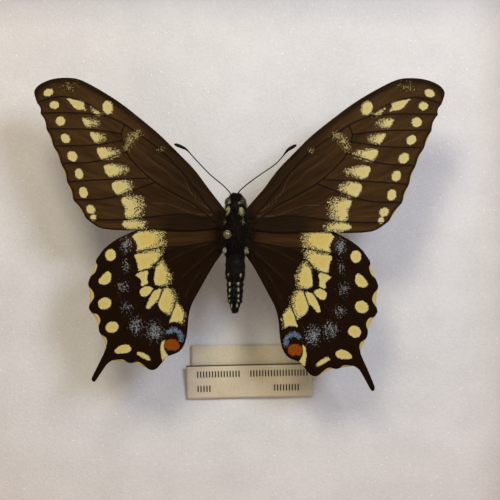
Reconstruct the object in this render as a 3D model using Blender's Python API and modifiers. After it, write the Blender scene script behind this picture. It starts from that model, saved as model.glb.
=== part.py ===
"""A spread swallowtail butterfly, pinned over a foam board in a plain open box frame.

The frame lies on its back: +Z points out of the picture, +Y to the butterfly's head.
The origin is the middle of the frame's back, on the surface that it rests on.
"""
import math

import bmesh
import bpy
from mathutils import Matrix, Vector
from mathutils.geometry import delaunay_2d_cdt

MM = 0.001

# Box frame, back board and foam
FRAME_SIDE = 150 * MM
FRAME_HEIGHT = 45 * MM
RAIL_WIDTH = 11 * MM
RAIL_EDGE_ROUND = 1.5 * MM
MITRE_SETBACK = 0.15 * MM
REBATE_WIDTH = 5 * MM
REBATE_DEPTH = 3.8 * MM
FIT_GAP = 0.3 * MM
BACK_BOARD_THICK = 3 * MM
BACK_BOARD_INSET = 0.5 * MM
FOAM_THICK = 10 * MM
OPENING = FRAME_SIDE - 2 * RAIL_WIDTH
FOAM_BOTTOM = BACK_BOARD_INSET + BACK_BOARD_THICK + FIT_GAP
FOAM_TOP = FOAM_BOTTOM + FOAM_THICK

# The specimen: the point of the thorax that all its parts are measured from
WING_HEIGHT = FOAM_TOP + 16 * MM
SPECIMEN_X = -0.85 * MM
SPECIMEN_Y = 0.95 * MM

# Insect pin
PIN_LENGTH = 37.5 * MM
PIN_RADIUS = 0.25 * MM
PIN_POINT = 2.5 * MM
PIN_HEAD_RADIUS = 0.78 * MM
PIN_DEPTH_IN_FOAM = 8.5 * MM
PIN_LEAN = math.radians(7.1)
PIN_AT_WINGS_X = 0.15 * MM
PIN_AT_WINGS_Y = -0.45 * MM
PIN_HOLE_RADIUS = PIN_RADIUS + FIT_GAP

# Paper labels
LABEL_WIDTH = 25.6 * MM
LABEL_LENGTH = 7 * MM
LABEL_THICK = 0.25 * MM
LABEL_FRONT_CENTRE = (1.8 * MM, -28.95 * MM)
LABEL_FRONT_TURN = math.radians(1.2)
LABEL_BACK_CENTRE = (2.75 * MM, -25.2 * MM)
LABEL_FRONT_RISE = 0.85 * MM

# Wings: thickness, height of a vein, rise towards the tips, droop towards the tails
WING_THICK = 0.25 * MM
VEIN_HEIGHT = 0.1 * MM
WING_RISE = 0.02
HINDWING_DROP = 0.7 * MM
HINDWING_DROOP = 2.5
FOREWING_GRID = 3.4 * MM
HINDWING_GRID = 3.0 * MM
# Rows of an even triangle net, and how near one of its points may come to an edge or a vein, in net steps
NET_ROW, NET_CLEARANCE = math.sqrt(3) / 2, 0.6
NET_MERGE_MM = 1e-4

# The wing outlines and veins are in millimetres from the specimen's point:
# the first value outwards to the wing's side, the second forwards to the head.
FOREWING_ROOT = [(2.75, 1.3), (2.7, 1.9), (2.55, 3.0), (2.1, 4.1)]
FOREWING_COSTA = [(4.85, 8.1), (7.7, 11.9), (10.55, 14.85), (14.35, 18.6), (18.15, 21.8), (21.95, 24.75),
                  (26.1, 27.35), (29.5, 29.05), (32.0, 29.4), (34.6, 29.15), (36.7, 28.35), (37.8, 27.4),
                  (38.1, 26.4)]
FOREWING_VEIN_ENDS = [(37.5, 24.5), (36.9, 22.6), (35.8, 19.7), (34.5, 16.5), (33.0, 13.1), (31.85, 9.7),
                      (30.7, 6.3), (28.3, 2.75)]
FOREWING_INNER = [(26.1, 1.15), (23.8, 0.63), (20.0, 0.5), (16.2, 0.7), (12.4, 0.5), (8.6, 0.4), (5.6, 0.65)]
FOREWING_SCALLOP = 0.3
FOREWING_VEINS = [
    [(37.2, 24.8), (33.3, 25.8), (30.5, 25.4), (27.3, 24.1), (24.6, 22.2)],
    [(36.4, 22.7), (29.5, 22.7), (24.6, 22.2)],
    [(35.3, 19.7), (27.6, 19.6), (21.6, 18.8)],
    [(34.0, 16.5), (27.6, 16.6), (21.3, 17.5)],
    [(32.5, 13.2), (26.7, 13.5), (20.8, 15.3)],
    [(31.4, 9.7), (24.8, 10.1), (16.2, 10.4)],
    [(30.2, 6.3), (23.8, 6.65), (15.3, 9.6)],
    [(27.8, 2.5), (20.0, 2.6), (10.5, 3.6), (5.8, 2.9)],
    [(3.9, 2.1), (7.7, 5.3), (12.4, 7.9), (16.2, 10.4), (20.0, 14.25), (21.3, 17.5), (21.6, 18.8),
     (21.0, 20.5)],
    [(24.6, 22.2), (21.0, 20.5), (14.3, 15.8), (10.5, 12.0), (6.7, 7.2), (3.9, 3.4)],
]

HINDWING_COSTA = [(2.7, 1.9), (7.7, 2.1), (12.4, 1.75), (16.2, 1.3), (18.9, 0.5), (21.0, -0.4), (22.9, -1.4),
                  (24.8, -2.85), (25.75, -4.05), (26.5, -5.2)]
HINDWING_LOBES = [
    (26.2, -6.1), (26.35, -6.85), (26.7, -7.6), (27.45, -8.3), (27.9, -9.1), (28.0, -9.8), (27.75, -10.2),
    (27.1, -11.0), (26.83, -11.8), (26.9, -12.4), (27.4, -13.2), (27.87, -13.9), (27.87, -14.45),
    (27.2, -15.2), (26.3, -15.4), (25.7, -16.4), (25.85, -17.3), (26.1, -18.0), (25.95, -18.9),
    (25.4, -19.4), (24.7, -19.9), (24.45, -20.6), (24.6, -21.5)]
HINDWING_TAIL = [(25.2, -23.0), (26.2, -25.05), (27.35, -27.15), (27.6, -27.8), (27.3, -28.25),
                 (26.8, -28.05), (26.3, -27.35), (25.4, -26.1), (24.6, -25.05), (24.0, -24.6)]
HINDWING_REAR = [(23.4, -24.25), (22.3, -24.1), (21.4, -24.15), (20.6, -24.7), (19.9, -24.87),
                 (19.1, -24.55), (18.3, -24.7), (17.4, -25.35), (16.35, -26.2), (15.3, -26.05),
                 (14.6, -25.4), (13.95, -24.6)]
HINDWING_INNER = [(13.1, -23.65), (11.8, -23.15), (10.75, -22.6), (9.9, -21.5), (9.4, -19.95), (9.15, -18.2),
                  (8.93, -15.8), (8.3, -13.5), (6.8, -10.7), (4.75, -7.1), (3.4, -5.0), (2.7, -3.3)]
HINDWING_VEINS = [
    [(13.8, -4.6), (18.7, -3.7), (20.8, -4.4), (24.4, -6.5), (27.4, -9.0)],
    [(15.9, -6.9), (18.9, -7.5), (21.2, -8.4), (25.0, -11.0), (27.4, -13.9)],
    [(16.3, -9.9), (18.1, -10.45), (21.2, -12.2), (24.4, -15.8), (25.7, -18.0)],
    [(15.1, -10.2), (16.6, -12.2), (19.1, -15.2), (22.3, -19.8), (24.9, -23.3), (27.0, -27.4)],
    [(13.8, -10.3), (14.7, -13.1), (16.6, -17.5), (19.5, -22.8), (19.9, -24.4)],
    [(11.3, -9.9), (11.3, -12.7), (12.3, -15.6), (13.8, -18.8), (15.1, -22.6), (15.9, -25.6)],
    [(3.9, -3.3), (7.3, -9.0), (9.6, -15.0), (10.2, -19.0), (11.6, -22.4)],
    [(2.9, -1.4), (9.6, -2.5), (13.8, -4.6), (15.9, -6.9), (16.3, -9.9), (15.1, -10.2), (13.8, -10.3),
     (11.3, -9.9), (7.7, -6.7), (2.9, -2.5)],
]

# How each wing is spread: its side, growth outwards and forwards, turn in degrees, shift in millimetres,
# how much longer its tail is past the point where the tail begins, and how far its leading edge is
# hollowed near the root, in millimetres
WING_SPREAD = {
    "forewing_left": (-1, 1.0, 1.0, 0.0, (0.0, 0.0), 0.0, 0.0),
    "forewing_right": (1, 1.053, 1.02, -0.6, (-0.8, -0.3), 0.0, 0.6),
    "hindwing_left": (-1, 1.0, 1.0, 0.0, (0.0, 0.0), 0.07, 0.0),
    "hindwing_right": (1, 0.993, 1.042, 0.0, (-0.7, -0.1), 0.23, 0.0),
}
TAIL_BEGINS = (22.0, -25.0)
HOLLOW_CENTRE, HOLLOW_REACH = Vector((5.5, 9.0)), 12.0
WING_CLEAR_OF_THORAX, WING_CLEAR_OF_NECK, NECK_FROM = 2.72, 2.0, 1.9

# Body: half width at each place along it, in millimetres, head first
BODY_PROFILE = [
    (0.0, 7.65), (0.62, 7.45), (0.92, 7.05), (1.3, 6.5), (1.5, 5.8), (1.45, 5.0), (1.25, 4.4), (1.75, 3.8),
    (2.1, 3.0), (2.3, 1.8), (2.35, 0.3), (2.3, -1.3), (2.05, -2.5), (1.65, -3.25), (1.78, -4.2), (1.72, -5.0),
    (1.86, -5.9), (1.8, -6.8), (1.84, -7.6), (1.7, -8.5), (1.4, -9.1), (1.58, -9.6), (1.38, -10.1),
    (1.5, -10.8), (1.34, -11.4), (1.38, -12.0), (1.24, -12.5), (1.26, -12.9), (0.95, -13.4), (0.62, -14.5),
    (0.4, -15.2), (0.0, -15.4)]
BODY_AROUND = 18
BODY_TURN = math.radians(-0.6)
THORAX_CENTRE_Z = -1.1 * MM
THORAX_FRONT, THORAX_REAR = 3.6 * MM, -3.2 * MM
THORAX_DEEPER, ABDOMEN_DEEPER = 1.08, 1.04
ABDOMEN_SAG = 0.035
EYE_RADII = (0.95 * MM, 1.15 * MM, 1.1 * MM)
EYE_CENTRE = (1.15 * MM, 5.8 * MM, -0.95 * MM)

# Feelers, legs and tongue: points in millimetres, the third value up from the wings' height
FEELER_RADIUS = 0.14 * MM
# How many times thicker a feeler is at each point of its club, the last stretch of it
CLUB_SHAPE = (1.3, 1.7, 2.0, 2.3, 2.3, 1.9, 1.0)
ANTENNA_LEFT = [(-1.33, 8.0, -0.3), (-2.55, 9.2, 0.15), (-4.85, 11.1, 0.7), (-7.7, 14.05, 1.4),
                (-9.1, 15.6, 1.8), (-10.2, 16.2, 2.0), (-11.4, 16.65, 2.2)]
ANTENNA_RIGHT = [(0.78, 8.0, -0.3), (2.4, 9.4, 0.15), (4.8, 11.1, 0.7), (7.45, 12.9, 1.3), (8.9, 14.4, 1.6),
                 (9.9, 15.6, 1.9), (11.4, 16.5, 2.2)]
LEG_RADIUS = 0.17 * MM
LEG_THINNING = (1.4, 1.2, 0.9, 0.6)
LEG_ROUTES = {
    "leg_fore": [(0.7, 2.6, -4.0), (2.0, 4.2, -5.2), (1.2, 6.2, -4.9), (0.9, 7.2, -5.2)],
    "leg_mid": [(1.0, 0.6, -4.15), (2.8, 2.0, -5.8), (3.3, -0.7, -6.8), (3.0, -2.8, -7.2)],
    "leg_hind": [(0.9, -1.4, -4.1), (2.1, -2.7, -5.4), (1.3, -6.0, -6.0), (0.9, -9.0, -6.2)],
}
TONGUE_CENTRE = (0.0, 6.4, -3.75)
TONGUE_OUTER, TONGUE_INNER = 0.85, 0.4
TONGUE_TURNS, TONGUE_STEPS = 1.4, 14
TONGUE_RADIUS = 0.11 * MM


def clear_scene():
    for obj in list(bpy.data.objects):
        bpy.data.objects.remove(obj, do_unlink=True)


def new_collection(name):
    collection = bpy.data.collections.new(name)
    bpy.context.scene.collection.children.link(collection)
    return collection


def add_object(name, mesh, collection, material=None, parent=None):
    obj = bpy.data.objects.new(name, mesh)
    collection.objects.link(obj)
    if material:
        mesh.materials.append(material)
    obj.parent = parent
    return obj


def make_material(name, color, roughness, metallic=0.0):
    material = bpy.data.materials.new(name)
    material.use_nodes = True
    shader = material.node_tree.nodes["Principled BSDF"]
    shader.inputs["Base Color"].default_value = (*color, 1.0)
    shader.inputs["Roughness"].default_value = roughness
    shader.inputs["Metallic"].default_value = metallic
    return material


def mesh_from_bmesh(name, bm):
    mesh = bpy.data.meshes.new(name)
    bm.to_mesh(mesh)
    bm.free()
    return mesh


def box_mesh(name, size):
    """A box of the given size, centred on its own origin."""
    bm = bmesh.new()
    bmesh.ops.create_cube(bm, size=1.0, matrix=Matrix.Diagonal((*size, 1.0)))
    return mesh_from_bmesh(name, bm)


def evaluated_mesh(obj):
    """The object's mesh with its modifiers, or a curve's tube with its caps welded."""
    depsgraph = bpy.context.evaluated_depsgraph_get()
    mesh = bpy.data.meshes.new_from_object(obj.evaluated_get(depsgraph))
    bm = bmesh.new()
    bm.from_mesh(mesh)
    bmesh.ops.remove_doubles(bm, verts=bm.verts, dist=1e-6)
    bm.to_mesh(mesh)
    bm.free()
    return mesh


def smooth_through(points, steps, closed=False):
    """Catmull-Rom curve through the points, with the given number of steps in each span."""
    count = len(points)
    spans = count if closed else count - 1
    result = []
    for i in range(spans):
        if closed:
            a, b, c, d = (Vector(points[(i + k) % count]) for k in (-1, 0, 1, 2))
        else:
            a, b, c, d = (Vector(points[min(max(i + k, 0), count - 1)]) for k in (-1, 0, 1, 2))
        for step in range(steps):
            t = step / steps
            result.append(0.5 * (2 * b + (c - a) * t + (2 * a - 5 * b + 4 * c - d) * t ** 2
                                 + (3 * b - a - 3 * c + d) * t ** 3))
    if not closed:
        result.append(Vector(points[-1]))
    return result


def turned_mesh(name, profile, around, collection):
    """A profile of (radius, height) points, top first, turned about Z by a Screw modifier."""
    mesh = bpy.data.meshes.new(name)
    edges = [(i, i + 1) for i in range(len(profile) - 1)]
    mesh.from_pydata([(radius, 0.0, height) for radius, height in profile], edges, [])
    obj = bpy.data.objects.new(name, mesh)
    collection.objects.link(obj)
    screw = obj.modifiers.new("turn", "SCREW")
    screw.steps = screw.render_steps = around
    screw.use_merge_vertices = True
    screw.merge_threshold = 1e-6
    bpy.context.view_layer.update()
    result = evaluated_mesh(obj)
    bpy.data.objects.remove(obj, do_unlink=True)
    return result


def cut_with(obj, cutter, name):
    boolean = obj.modifiers.new(name, "BOOLEAN")
    boolean.operation = "DIFFERENCE"
    boolean.object = cutter


def hide_cutter(cutter):
    cutter.hide_render = True
    cutter.display_type = "WIRE"


def tube(name, points, radii, depth, collection, material, parent):
    """A round tube with closed ends on a polyline, its radius given at each point."""
    curve = bpy.data.curves.new(name, "CURVE")
    curve.dimensions = "3D"
    curve.bevel_depth = depth
    curve.bevel_resolution = 1
    curve.use_fill_caps = True
    spline = curve.splines.new("POLY")
    spline.points.add(len(points) - 1)
    for point, place, radius in zip(spline.points, points, radii):
        point.co = (*[value * MM for value in place], 1.0)
        point.radius = radius
    guide = bpy.data.objects.new(name + "_guide", curve)
    collection.objects.link(guide)
    bpy.context.view_layer.update()
    mesh = evaluated_mesh(guide)
    mesh.shade_smooth()
    bpy.data.objects.remove(guide, do_unlink=True)
    return add_object(name, mesh, collection, material, parent)


# Frame

def frame_rail(name, turn, recess, collection, material):
    """One mitred rail: a box whose inner face is shorter by the rail's width at each end."""
    bm = bmesh.new()
    size = (FRAME_SIDE, RAIL_WIDTH, FRAME_HEIGHT)
    place = Matrix.Translation((0, -(FRAME_SIDE - RAIL_WIDTH) / 2, FRAME_HEIGHT / 2))
    bmesh.ops.create_cube(bm, size=1.0, matrix=place @ Matrix.Diagonal((*size, 1.0)))
    inner_y = -FRAME_SIDE / 2 + RAIL_WIDTH
    for vert in bm.verts:
        end = math.copysign(1, vert.co.x)
        vert.co.x -= end * MITRE_SETBACK * math.sqrt(2)
        if abs(vert.co.y - inner_y) < MITRE_SETBACK:
            vert.co.x -= end * RAIL_WIDTH
    top_edges = [edge for edge in bm.edges
                 if all(vert.co.z > FRAME_HEIGHT / 2 for vert in edge.verts)
                 and abs(edge.verts[0].co.y - edge.verts[1].co.y) < MITRE_SETBACK]
    bmesh.ops.bevel(bm, geom=top_edges, offset=RAIL_EDGE_ROUND, segments=3, profile=0.5, affect="EDGES")
    rail = add_object(name, mesh_from_bmesh(name, bm), collection, material)
    rail.rotation_euler.z = turn
    cut_with(rail, recess, "rebate for the back board")
    return rail


def build_frame(collection, cutters, wood):
    recess_side = OPENING + 2 * REBATE_WIDTH
    recess_size = (recess_side, recess_side, 2 * REBATE_DEPTH)
    recess = add_object("rebate_cutter", box_mesh("rebate_cutter", recess_size), cutters)
    hide_cutter(recess)
    for index, side in enumerate(("front", "right", "back", "left")):
        frame_rail("frame_rail_" + side, index * math.pi / 2, recess, collection, wood)


def build_boards(collection, cutters, board_material, foam_material):
    board_side = OPENING + 2 * REBATE_WIDTH - 2 * FIT_GAP
    board = add_object("back_board", box_mesh("back_board", (board_side, board_side, BACK_BOARD_THICK)),
                       collection, board_material)
    board.location.z = BACK_BOARD_INSET + BACK_BOARD_THICK / 2
    foam_side = OPENING - 2 * FIT_GAP
    foam = add_object("foam_board", box_mesh("foam_board", (foam_side, foam_side, FOAM_THICK)),
                      collection, foam_material)
    foam.location.z = FOAM_BOTTOM + FOAM_THICK / 2
    cut_with(foam, pin_hole_cutter("foam_hole_cutter", cutters), "pin hole")


def build_labels(collection, paper):
    size = (LABEL_WIDTH, LABEL_LENGTH, LABEL_THICK)
    back = add_object("label_back", box_mesh("label_back", size), collection, paper)
    back_z = FOAM_TOP + FIT_GAP + LABEL_THICK / 2
    back.location = (*LABEL_BACK_CENTRE, back_z)
    front = add_object("label_front", box_mesh("label_front", size), collection, paper)
    front.location = (*LABEL_FRONT_CENTRE, back_z + LABEL_FRONT_RISE / 2)
    front.rotation_euler = (math.asin(LABEL_FRONT_RISE / LABEL_LENGTH), 0, LABEL_FRONT_TURN)


# Pin

def pin_matrix():
    """Places a thing built with its tip at the origin and its head up where the pin stands."""
    at_wings = Vector((SPECIMEN_X + PIN_AT_WINGS_X, SPECIMEN_Y + PIN_AT_WINGS_Y, WING_HEIGHT))
    lean = Matrix.Rotation(-PIN_LEAN, 4, "Y")
    tip_below_wings = (WING_HEIGHT - FOAM_TOP + PIN_DEPTH_IN_FOAM) / math.cos(PIN_LEAN)
    return Matrix.Translation(at_wings) @ lean @ Matrix.Translation((0, 0, -tip_below_wings))


def pin_hole_cutter(name, cutters):
    bm = bmesh.new()
    bmesh.ops.create_cone(bm, cap_ends=True, segments=10, radius1=PIN_HOLE_RADIUS, radius2=PIN_HOLE_RADIUS,
                          depth=PIN_LENGTH)
    cutter = add_object(name, mesh_from_bmesh(name, bm), cutters)
    cutter.matrix_world = pin_matrix() @ Matrix.Translation((0, 0, PIN_LENGTH / 2 - FIT_GAP))
    hide_cutter(cutter)
    return cutter


def build_pin(collection, steel):
    head_z = PIN_LENGTH - PIN_HEAD_RADIUS
    arc = [math.radians(angle) for angle in (90, 60, 30, 0, -30, -60)]
    profile = [(PIN_HEAD_RADIUS * max(math.cos(angle), 0.0), head_z + PIN_HEAD_RADIUS * math.sin(angle))
               for angle in arc]
    profile[0] = (0.0, PIN_LENGTH)
    profile += [(PIN_RADIUS, head_z - PIN_HEAD_RADIUS), (PIN_RADIUS, PIN_POINT), (0.0, 0.0)]
    mesh = turned_mesh("pin", profile, 12, collection)
    mesh.shade_smooth()
    pin = add_object("pin", mesh, collection, steel)
    pin.matrix_world = pin_matrix()


# Wings

def forewing_outline():
    """Root, leading edge, the outer edge hollowed between its vein ends, and the inner edge."""
    leading = smooth_through(FOREWING_ROOT[3:] + FOREWING_COSTA + FOREWING_VEIN_ENDS[:1], 2)
    outer = []
    for start, end in zip(FOREWING_VEIN_ENDS, FOREWING_VEIN_ENDS[1:]):
        start, end = Vector(start), Vector(end)
        along = end - start
        inwards = Vector((along.y, -along.x)).normalized()
        for t in (0.25, 0.5, 0.75):
            outer.append(start + along * t + inwards * FOREWING_SCALLOP * math.sin(math.pi * t))
        outer.append(end)
    inner = smooth_through([FOREWING_VEIN_ENDS[-1]] + FOREWING_INNER + FOREWING_ROOT[:1], 2)
    root = [Vector(point) for point in FOREWING_ROOT[1:3]]
    return leading + outer + inner[1:] + root


def hindwing_outline():
    hidden = [Vector(point) for point in HINDWING_COSTA[:4]]
    shown = HINDWING_COSTA[4:] + HINDWING_LOBES + HINDWING_TAIL + HINDWING_REAR + HINDWING_INNER
    return hidden + smooth_through(shown, 2)


def vein_points(vein, longest):
    """Points along a vein, no further apart than the given distance."""
    points = [Vector(vein[0])]
    for start, end in zip(vein, vein[1:]):
        start, end = Vector(start), Vector(end)
        pieces = max(1, math.ceil((end - start).length / longest))
        points += [start.lerp(end, (k + 1) / pieces) for k in range(pieces)]
    return points


def wing_net(outline, veins, grid):
    """Triangulates the outline, with the veins as edges and a grid of points between them.

    Returns the points, the triangles, and the set of points that lie on a vein.
    """
    points = [Vector(point) for point in outline]
    edges = []
    ring = list(range(len(points)))
    for vein in veins:
        first = len(points)
        points += vein_points(vein, grid)
        edges += [(i, i + 1) for i in range(first, len(points) - 1)]
    fixed = list(points)
    on_vein = set(range(len(ring), len(points)))
    low = Vector((min(p.x for p in fixed), min(p.y for p in fixed)))
    high = Vector((max(p.x for p in fixed), max(p.y for p in fixed)))
    rows = int((high.y - low.y) / (grid * NET_ROW)) + 1
    columns = int((high.x - low.x) / grid) + 1
    for row in range(rows):
        for column in range(columns):
            spot = low + Vector(((column + 0.5 * (row % 2)) * grid, row * grid * NET_ROW))
            if inside(spot, outline) and min((spot - p).length for p in fixed) > NET_CLEARANCE * grid:
                points.append(spot)
    out_points, _, faces, origins, _, _ = delaunay_2d_cdt(points, edges, [ring], 1, NET_MERGE_MM)
    raised = {i for i, origin in enumerate(origins) if not origin or on_vein & set(origin)}
    return out_points, faces, raised


def inside(spot, outline):
    """Even-odd test of a point against the closed outline."""
    odd = False
    for a, b in zip(outline, outline[1:] + outline[:1]):
        if (a.y > spot.y) != (b.y > spot.y) and spot.x < a.x + (spot.y - a.y) / (b.y - a.y) * (b.x - a.x):
            odd = not odd
    return odd


def spread_point(name, x, y):
    """Where a point of a wing's outline lies on one of the four wings, clear of the body."""
    _, grow_x, grow_y, turn, shift, longer_tail, hollow = WING_SPREAD[name]
    if x > TAIL_BEGINS[0] and y < TAIL_BEGINS[1]:
        y -= longer_tail * (TAIL_BEGINS[1] - y)
    near_root = max(0.0, 1.0 - (Vector((x, y)) - HOLLOW_CENTRE).length / HOLLOW_REACH)
    spread = Matrix.Rotation(math.radians(turn), 2) @ Matrix(((grow_x, 0), (0, grow_y)))
    x, y = spread @ Vector((x, y)) + Vector(shift) + Vector((hollow * near_root, 0.0))
    return max(x, WING_CLEAR_OF_THORAX if y < NECK_FROM else WING_CLEAR_OF_NECK), y


def wing_surface_height(x, y, lowered, droop):
    """Height of a wing's middle surface at a place in metres from the specimen's point."""
    return WING_RISE * abs(x) - lowered - droop * min(y, 0.0) ** 2


def build_wing(name, net, lowered, droop, collection, material, parent):
    points, faces, raised = net
    side = WING_SPREAD[name][0]
    places = []
    for i, point in enumerate(points):
        x, y = (value * MM for value in spread_point(name, *point))
        ridge = VEIN_HEIGHT if i in raised else 0.0
        places.append((side * x, y, wing_surface_height(x, y, lowered, droop) + ridge))
    mesh = bpy.data.meshes.new(name)
    mesh.from_pydata(places, [], [face if side > 0 else face[::-1] for face in faces])
    wing = add_object(name, mesh, collection, material, parent)
    solidify = wing.modifiers.new("membrane", "SOLIDIFY")
    solidify.thickness = WING_THICK
    solidify.offset = 0.0
    return wing


def build_wings(collection, material, parent):
    forewing = wing_net(forewing_outline(), FOREWING_VEINS, FOREWING_GRID / MM)
    hindwing = wing_net(hindwing_outline(), HINDWING_VEINS, HINDWING_GRID / MM)
    for side in ("left", "right"):
        build_wing("forewing_" + side, forewing, 0.0, 0.0, collection, material, parent)
        build_wing("hindwing_" + side, hindwing, HINDWING_DROP, HINDWING_DROOP, collection, material, parent)


# Body and what grows from it

def body_height(y, z):
    """The body's own height: the thorax is deeper than it is wide, the abdomen sags a little."""
    deeper = THORAX_DEEPER if THORAX_REAR < y < THORAX_FRONT else ABDOMEN_DEEPER
    sag = ABDOMEN_SAG * min(y - THORAX_REAR, 0.0)
    return THORAX_CENTRE_Z + sag + z * deeper


def build_body(collection, cutters, chitin, parent):
    profile = [(radius * MM, along * MM) for radius, along in BODY_PROFILE]
    mesh = turned_mesh("body", profile, BODY_AROUND, collection)
    mesh.transform(Matrix.Rotation(-math.pi / 2, 4, "X"))
    for vert in mesh.vertices:
        vert.co.z = body_height(vert.co.y, vert.co.z)
    mesh.shade_smooth()
    body = add_object("body", mesh, collection, chitin, parent)
    body.rotation_euler.z = BODY_TURN
    for side in (-1, 1):
        bm = bmesh.new()
        bmesh.ops.create_uvsphere(bm, u_segments=12, v_segments=8, radius=1.0,
                                  matrix=Matrix.Diagonal((*EYE_RADII, 1.0)))
        eye = add_object("eye_cutter", mesh_from_bmesh("eye_cutter", bm), cutters, parent=parent)
        eye.location = (side * EYE_CENTRE[0], EYE_CENTRE[1], EYE_CENTRE[2])
        hide_cutter(eye)
        union = body.modifiers.new("eye", "BOOLEAN")
        union.operation = "UNION"
        union.object = eye
    cut_with(body, pin_hole_cutter("body_hole_cutter", cutters), "pin hole")


def build_limbs(collection, chitin, parent):
    for name, route in (("antenna_left", ANTENNA_LEFT), ("antenna_right", ANTENNA_RIGHT)):
        points = smooth_through(route, 3)
        radii = [1.0] * (len(points) - len(CLUB_SHAPE)) + list(CLUB_SHAPE)
        tube(name, points, radii, FEELER_RADIUS, collection, chitin, parent)
    for name, route in LEG_ROUTES.items():
        for side_name, side in (("left", -1), ("right", 1)):
            points = [(side * x, y, z) for x, y, z in route]
            tube(name + "_" + side_name, points, LEG_THINNING, LEG_RADIUS, collection, chitin, parent)
    coil = []
    for i in range(TONGUE_STEPS + 1):
        t = i / TONGUE_STEPS
        radius = TONGUE_OUTER + (TONGUE_INNER - TONGUE_OUTER) * t
        angle = math.pi / 2 - t * TONGUE_TURNS * 2 * math.pi
        coil.append((TONGUE_CENTRE[0], TONGUE_CENTRE[1] + radius * math.cos(angle),
                     TONGUE_CENTRE[2] + radius * math.sin(angle)))
    tube("proboscis", coil, [1.0] * len(coil), TONGUE_RADIUS, collection, chitin, parent)


def build():
    clear_scene()
    model = new_collection("framed_butterfly_specimen")
    cutters = new_collection("cutters")
    wood = make_material("frame wood", (0.42, 0.27, 0.14), 0.45)
    board = make_material("hardboard", (0.24, 0.13, 0.07), 0.8)
    foam = make_material("white foam", (0.74, 0.71, 0.66), 0.85)
    paper = make_material("label paper", (0.6, 0.5, 0.36), 0.8)
    steel = make_material("enamelled steel pin", (0.32, 0.27, 0.12), 0.25, metallic=0.5)
    wing = make_material("wing scales", (0.03, 0.016, 0.008), 0.6)
    chitin = make_material("dark chitin and hair", (0.006, 0.005, 0.004), 0.5)
    build_frame(model, cutters, wood)
    build_boards(model, cutters, board, foam)
    build_labels(model, paper)
    build_pin(model, steel)
    specimen = bpy.data.objects.new("specimen", None)
    model.objects.link(specimen)
    specimen.location = (SPECIMEN_X, SPECIMEN_Y, WING_HEIGHT)
    build_body(model, cutters, chitin, specimen)
    build_wings(model, wing, specimen)
    build_limbs(model, chitin, specimen)
    bpy.context.view_layer.update()


build()
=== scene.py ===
"""A spread swallowtail butterfly, pinned over white foam in an open wooden box frame.

The frame lies on its back, so that the picture looks straight down on it. All lengths are in metres
unless a name or comment says millimetres.
"""
import math

import bpy
import numpy as np
from mathutils import Matrix, Vector
from mathutils.geometry import delaunay_2d_cdt


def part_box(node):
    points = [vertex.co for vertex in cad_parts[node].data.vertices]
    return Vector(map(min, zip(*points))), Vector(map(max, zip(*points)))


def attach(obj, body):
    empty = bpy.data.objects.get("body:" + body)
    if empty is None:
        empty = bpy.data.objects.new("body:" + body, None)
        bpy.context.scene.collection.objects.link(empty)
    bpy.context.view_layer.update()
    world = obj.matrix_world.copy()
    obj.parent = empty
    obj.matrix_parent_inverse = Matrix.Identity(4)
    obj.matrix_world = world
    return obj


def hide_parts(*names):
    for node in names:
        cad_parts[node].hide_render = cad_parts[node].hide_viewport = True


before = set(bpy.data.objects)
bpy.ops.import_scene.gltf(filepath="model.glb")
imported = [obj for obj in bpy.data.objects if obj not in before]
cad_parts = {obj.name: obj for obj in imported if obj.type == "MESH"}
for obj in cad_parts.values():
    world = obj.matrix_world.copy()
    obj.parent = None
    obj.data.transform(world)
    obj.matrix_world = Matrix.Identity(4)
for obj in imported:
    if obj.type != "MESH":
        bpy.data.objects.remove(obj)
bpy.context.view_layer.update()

# Camera: straight above the specimen, 240 mm over the surface that the frame lies on. At the height
# of the wings one pixel of the square picture is 0.19 mm.
camera_data = bpy.data.cameras.new("camera")
camera_data.sensor_width = 36.0
camera_data.lens = 79.6
camera = bpy.data.objects.new("camera", camera_data)
bpy.context.scene.collection.objects.link(camera)
camera.location = (0.0019, -0.00228, 0.2398)
bpy.context.scene.camera = camera
bpy.context.scene.view_settings.view_transform = "Standard"


def linear(colour):
    """An sRGB hex colour as the linear colour that a shader takes."""
    values = [int(colour[i:i + 2], 16) / 255 for i in (1, 3, 5)]
    return (*[v / 12.92 if v <= 0.04045 else ((v + 0.055) / 1.055) ** 2.4 for v in values], 1.0)


# Light: a warm lamp beyond the head and a cool one at the upper right, both near and low enough
# that the wings' two shadows fall apart on the foam, and a pale room round them.
LAMPS = {
    "lamp_warm": ((-0.045, 0.155, 0.235), 0.075, 0.285, "#fff3d6"),
    "lamp_cool": ((0.124, 0.095, 0.235), 0.075, 0.345, "#dfe7ff"),
}
LAMP_AIM = Vector((0.0, 0.0, 0.0138))
for name, (place, size, watts, colour) in LAMPS.items():
    lamp_data = bpy.data.lights.new(name, "AREA")
    lamp_data.size = size
    lamp_data.energy = watts
    lamp_data.color = linear(colour)[:3]
    lamp = bpy.data.objects.new(name, lamp_data)
    bpy.context.scene.collection.objects.link(lamp)
    lamp.location = place
    lamp.rotation_euler = (LAMP_AIM - Vector(place)).to_track_quat("-Z", "Y").to_euler()

room = bpy.data.worlds.new("pale_room")
room.use_nodes = True
room.node_tree.nodes["Background"].inputs["Color"].default_value = linear("#fffefd")
room.node_tree.nodes["Background"].inputs["Strength"].default_value = 0.39
bpy.context.scene.world = room


# Floor: the plain pale surface that the frame lies on, not part of the object.
FLOOR_SIDE = 3.0


def new_piece(name, points, faces, smooth=True):
    """A mesh object from points in metres and faces."""
    mesh = bpy.data.meshes.new(name)
    mesh.from_pydata([tuple(point) for point in points], [], [tuple(face) for face in faces])
    mesh.validate()
    if smooth:
        mesh.shade_smooth()
    piece = bpy.data.objects.new(name, mesh)
    bpy.context.scene.collection.objects.link(piece)
    return piece


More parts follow.
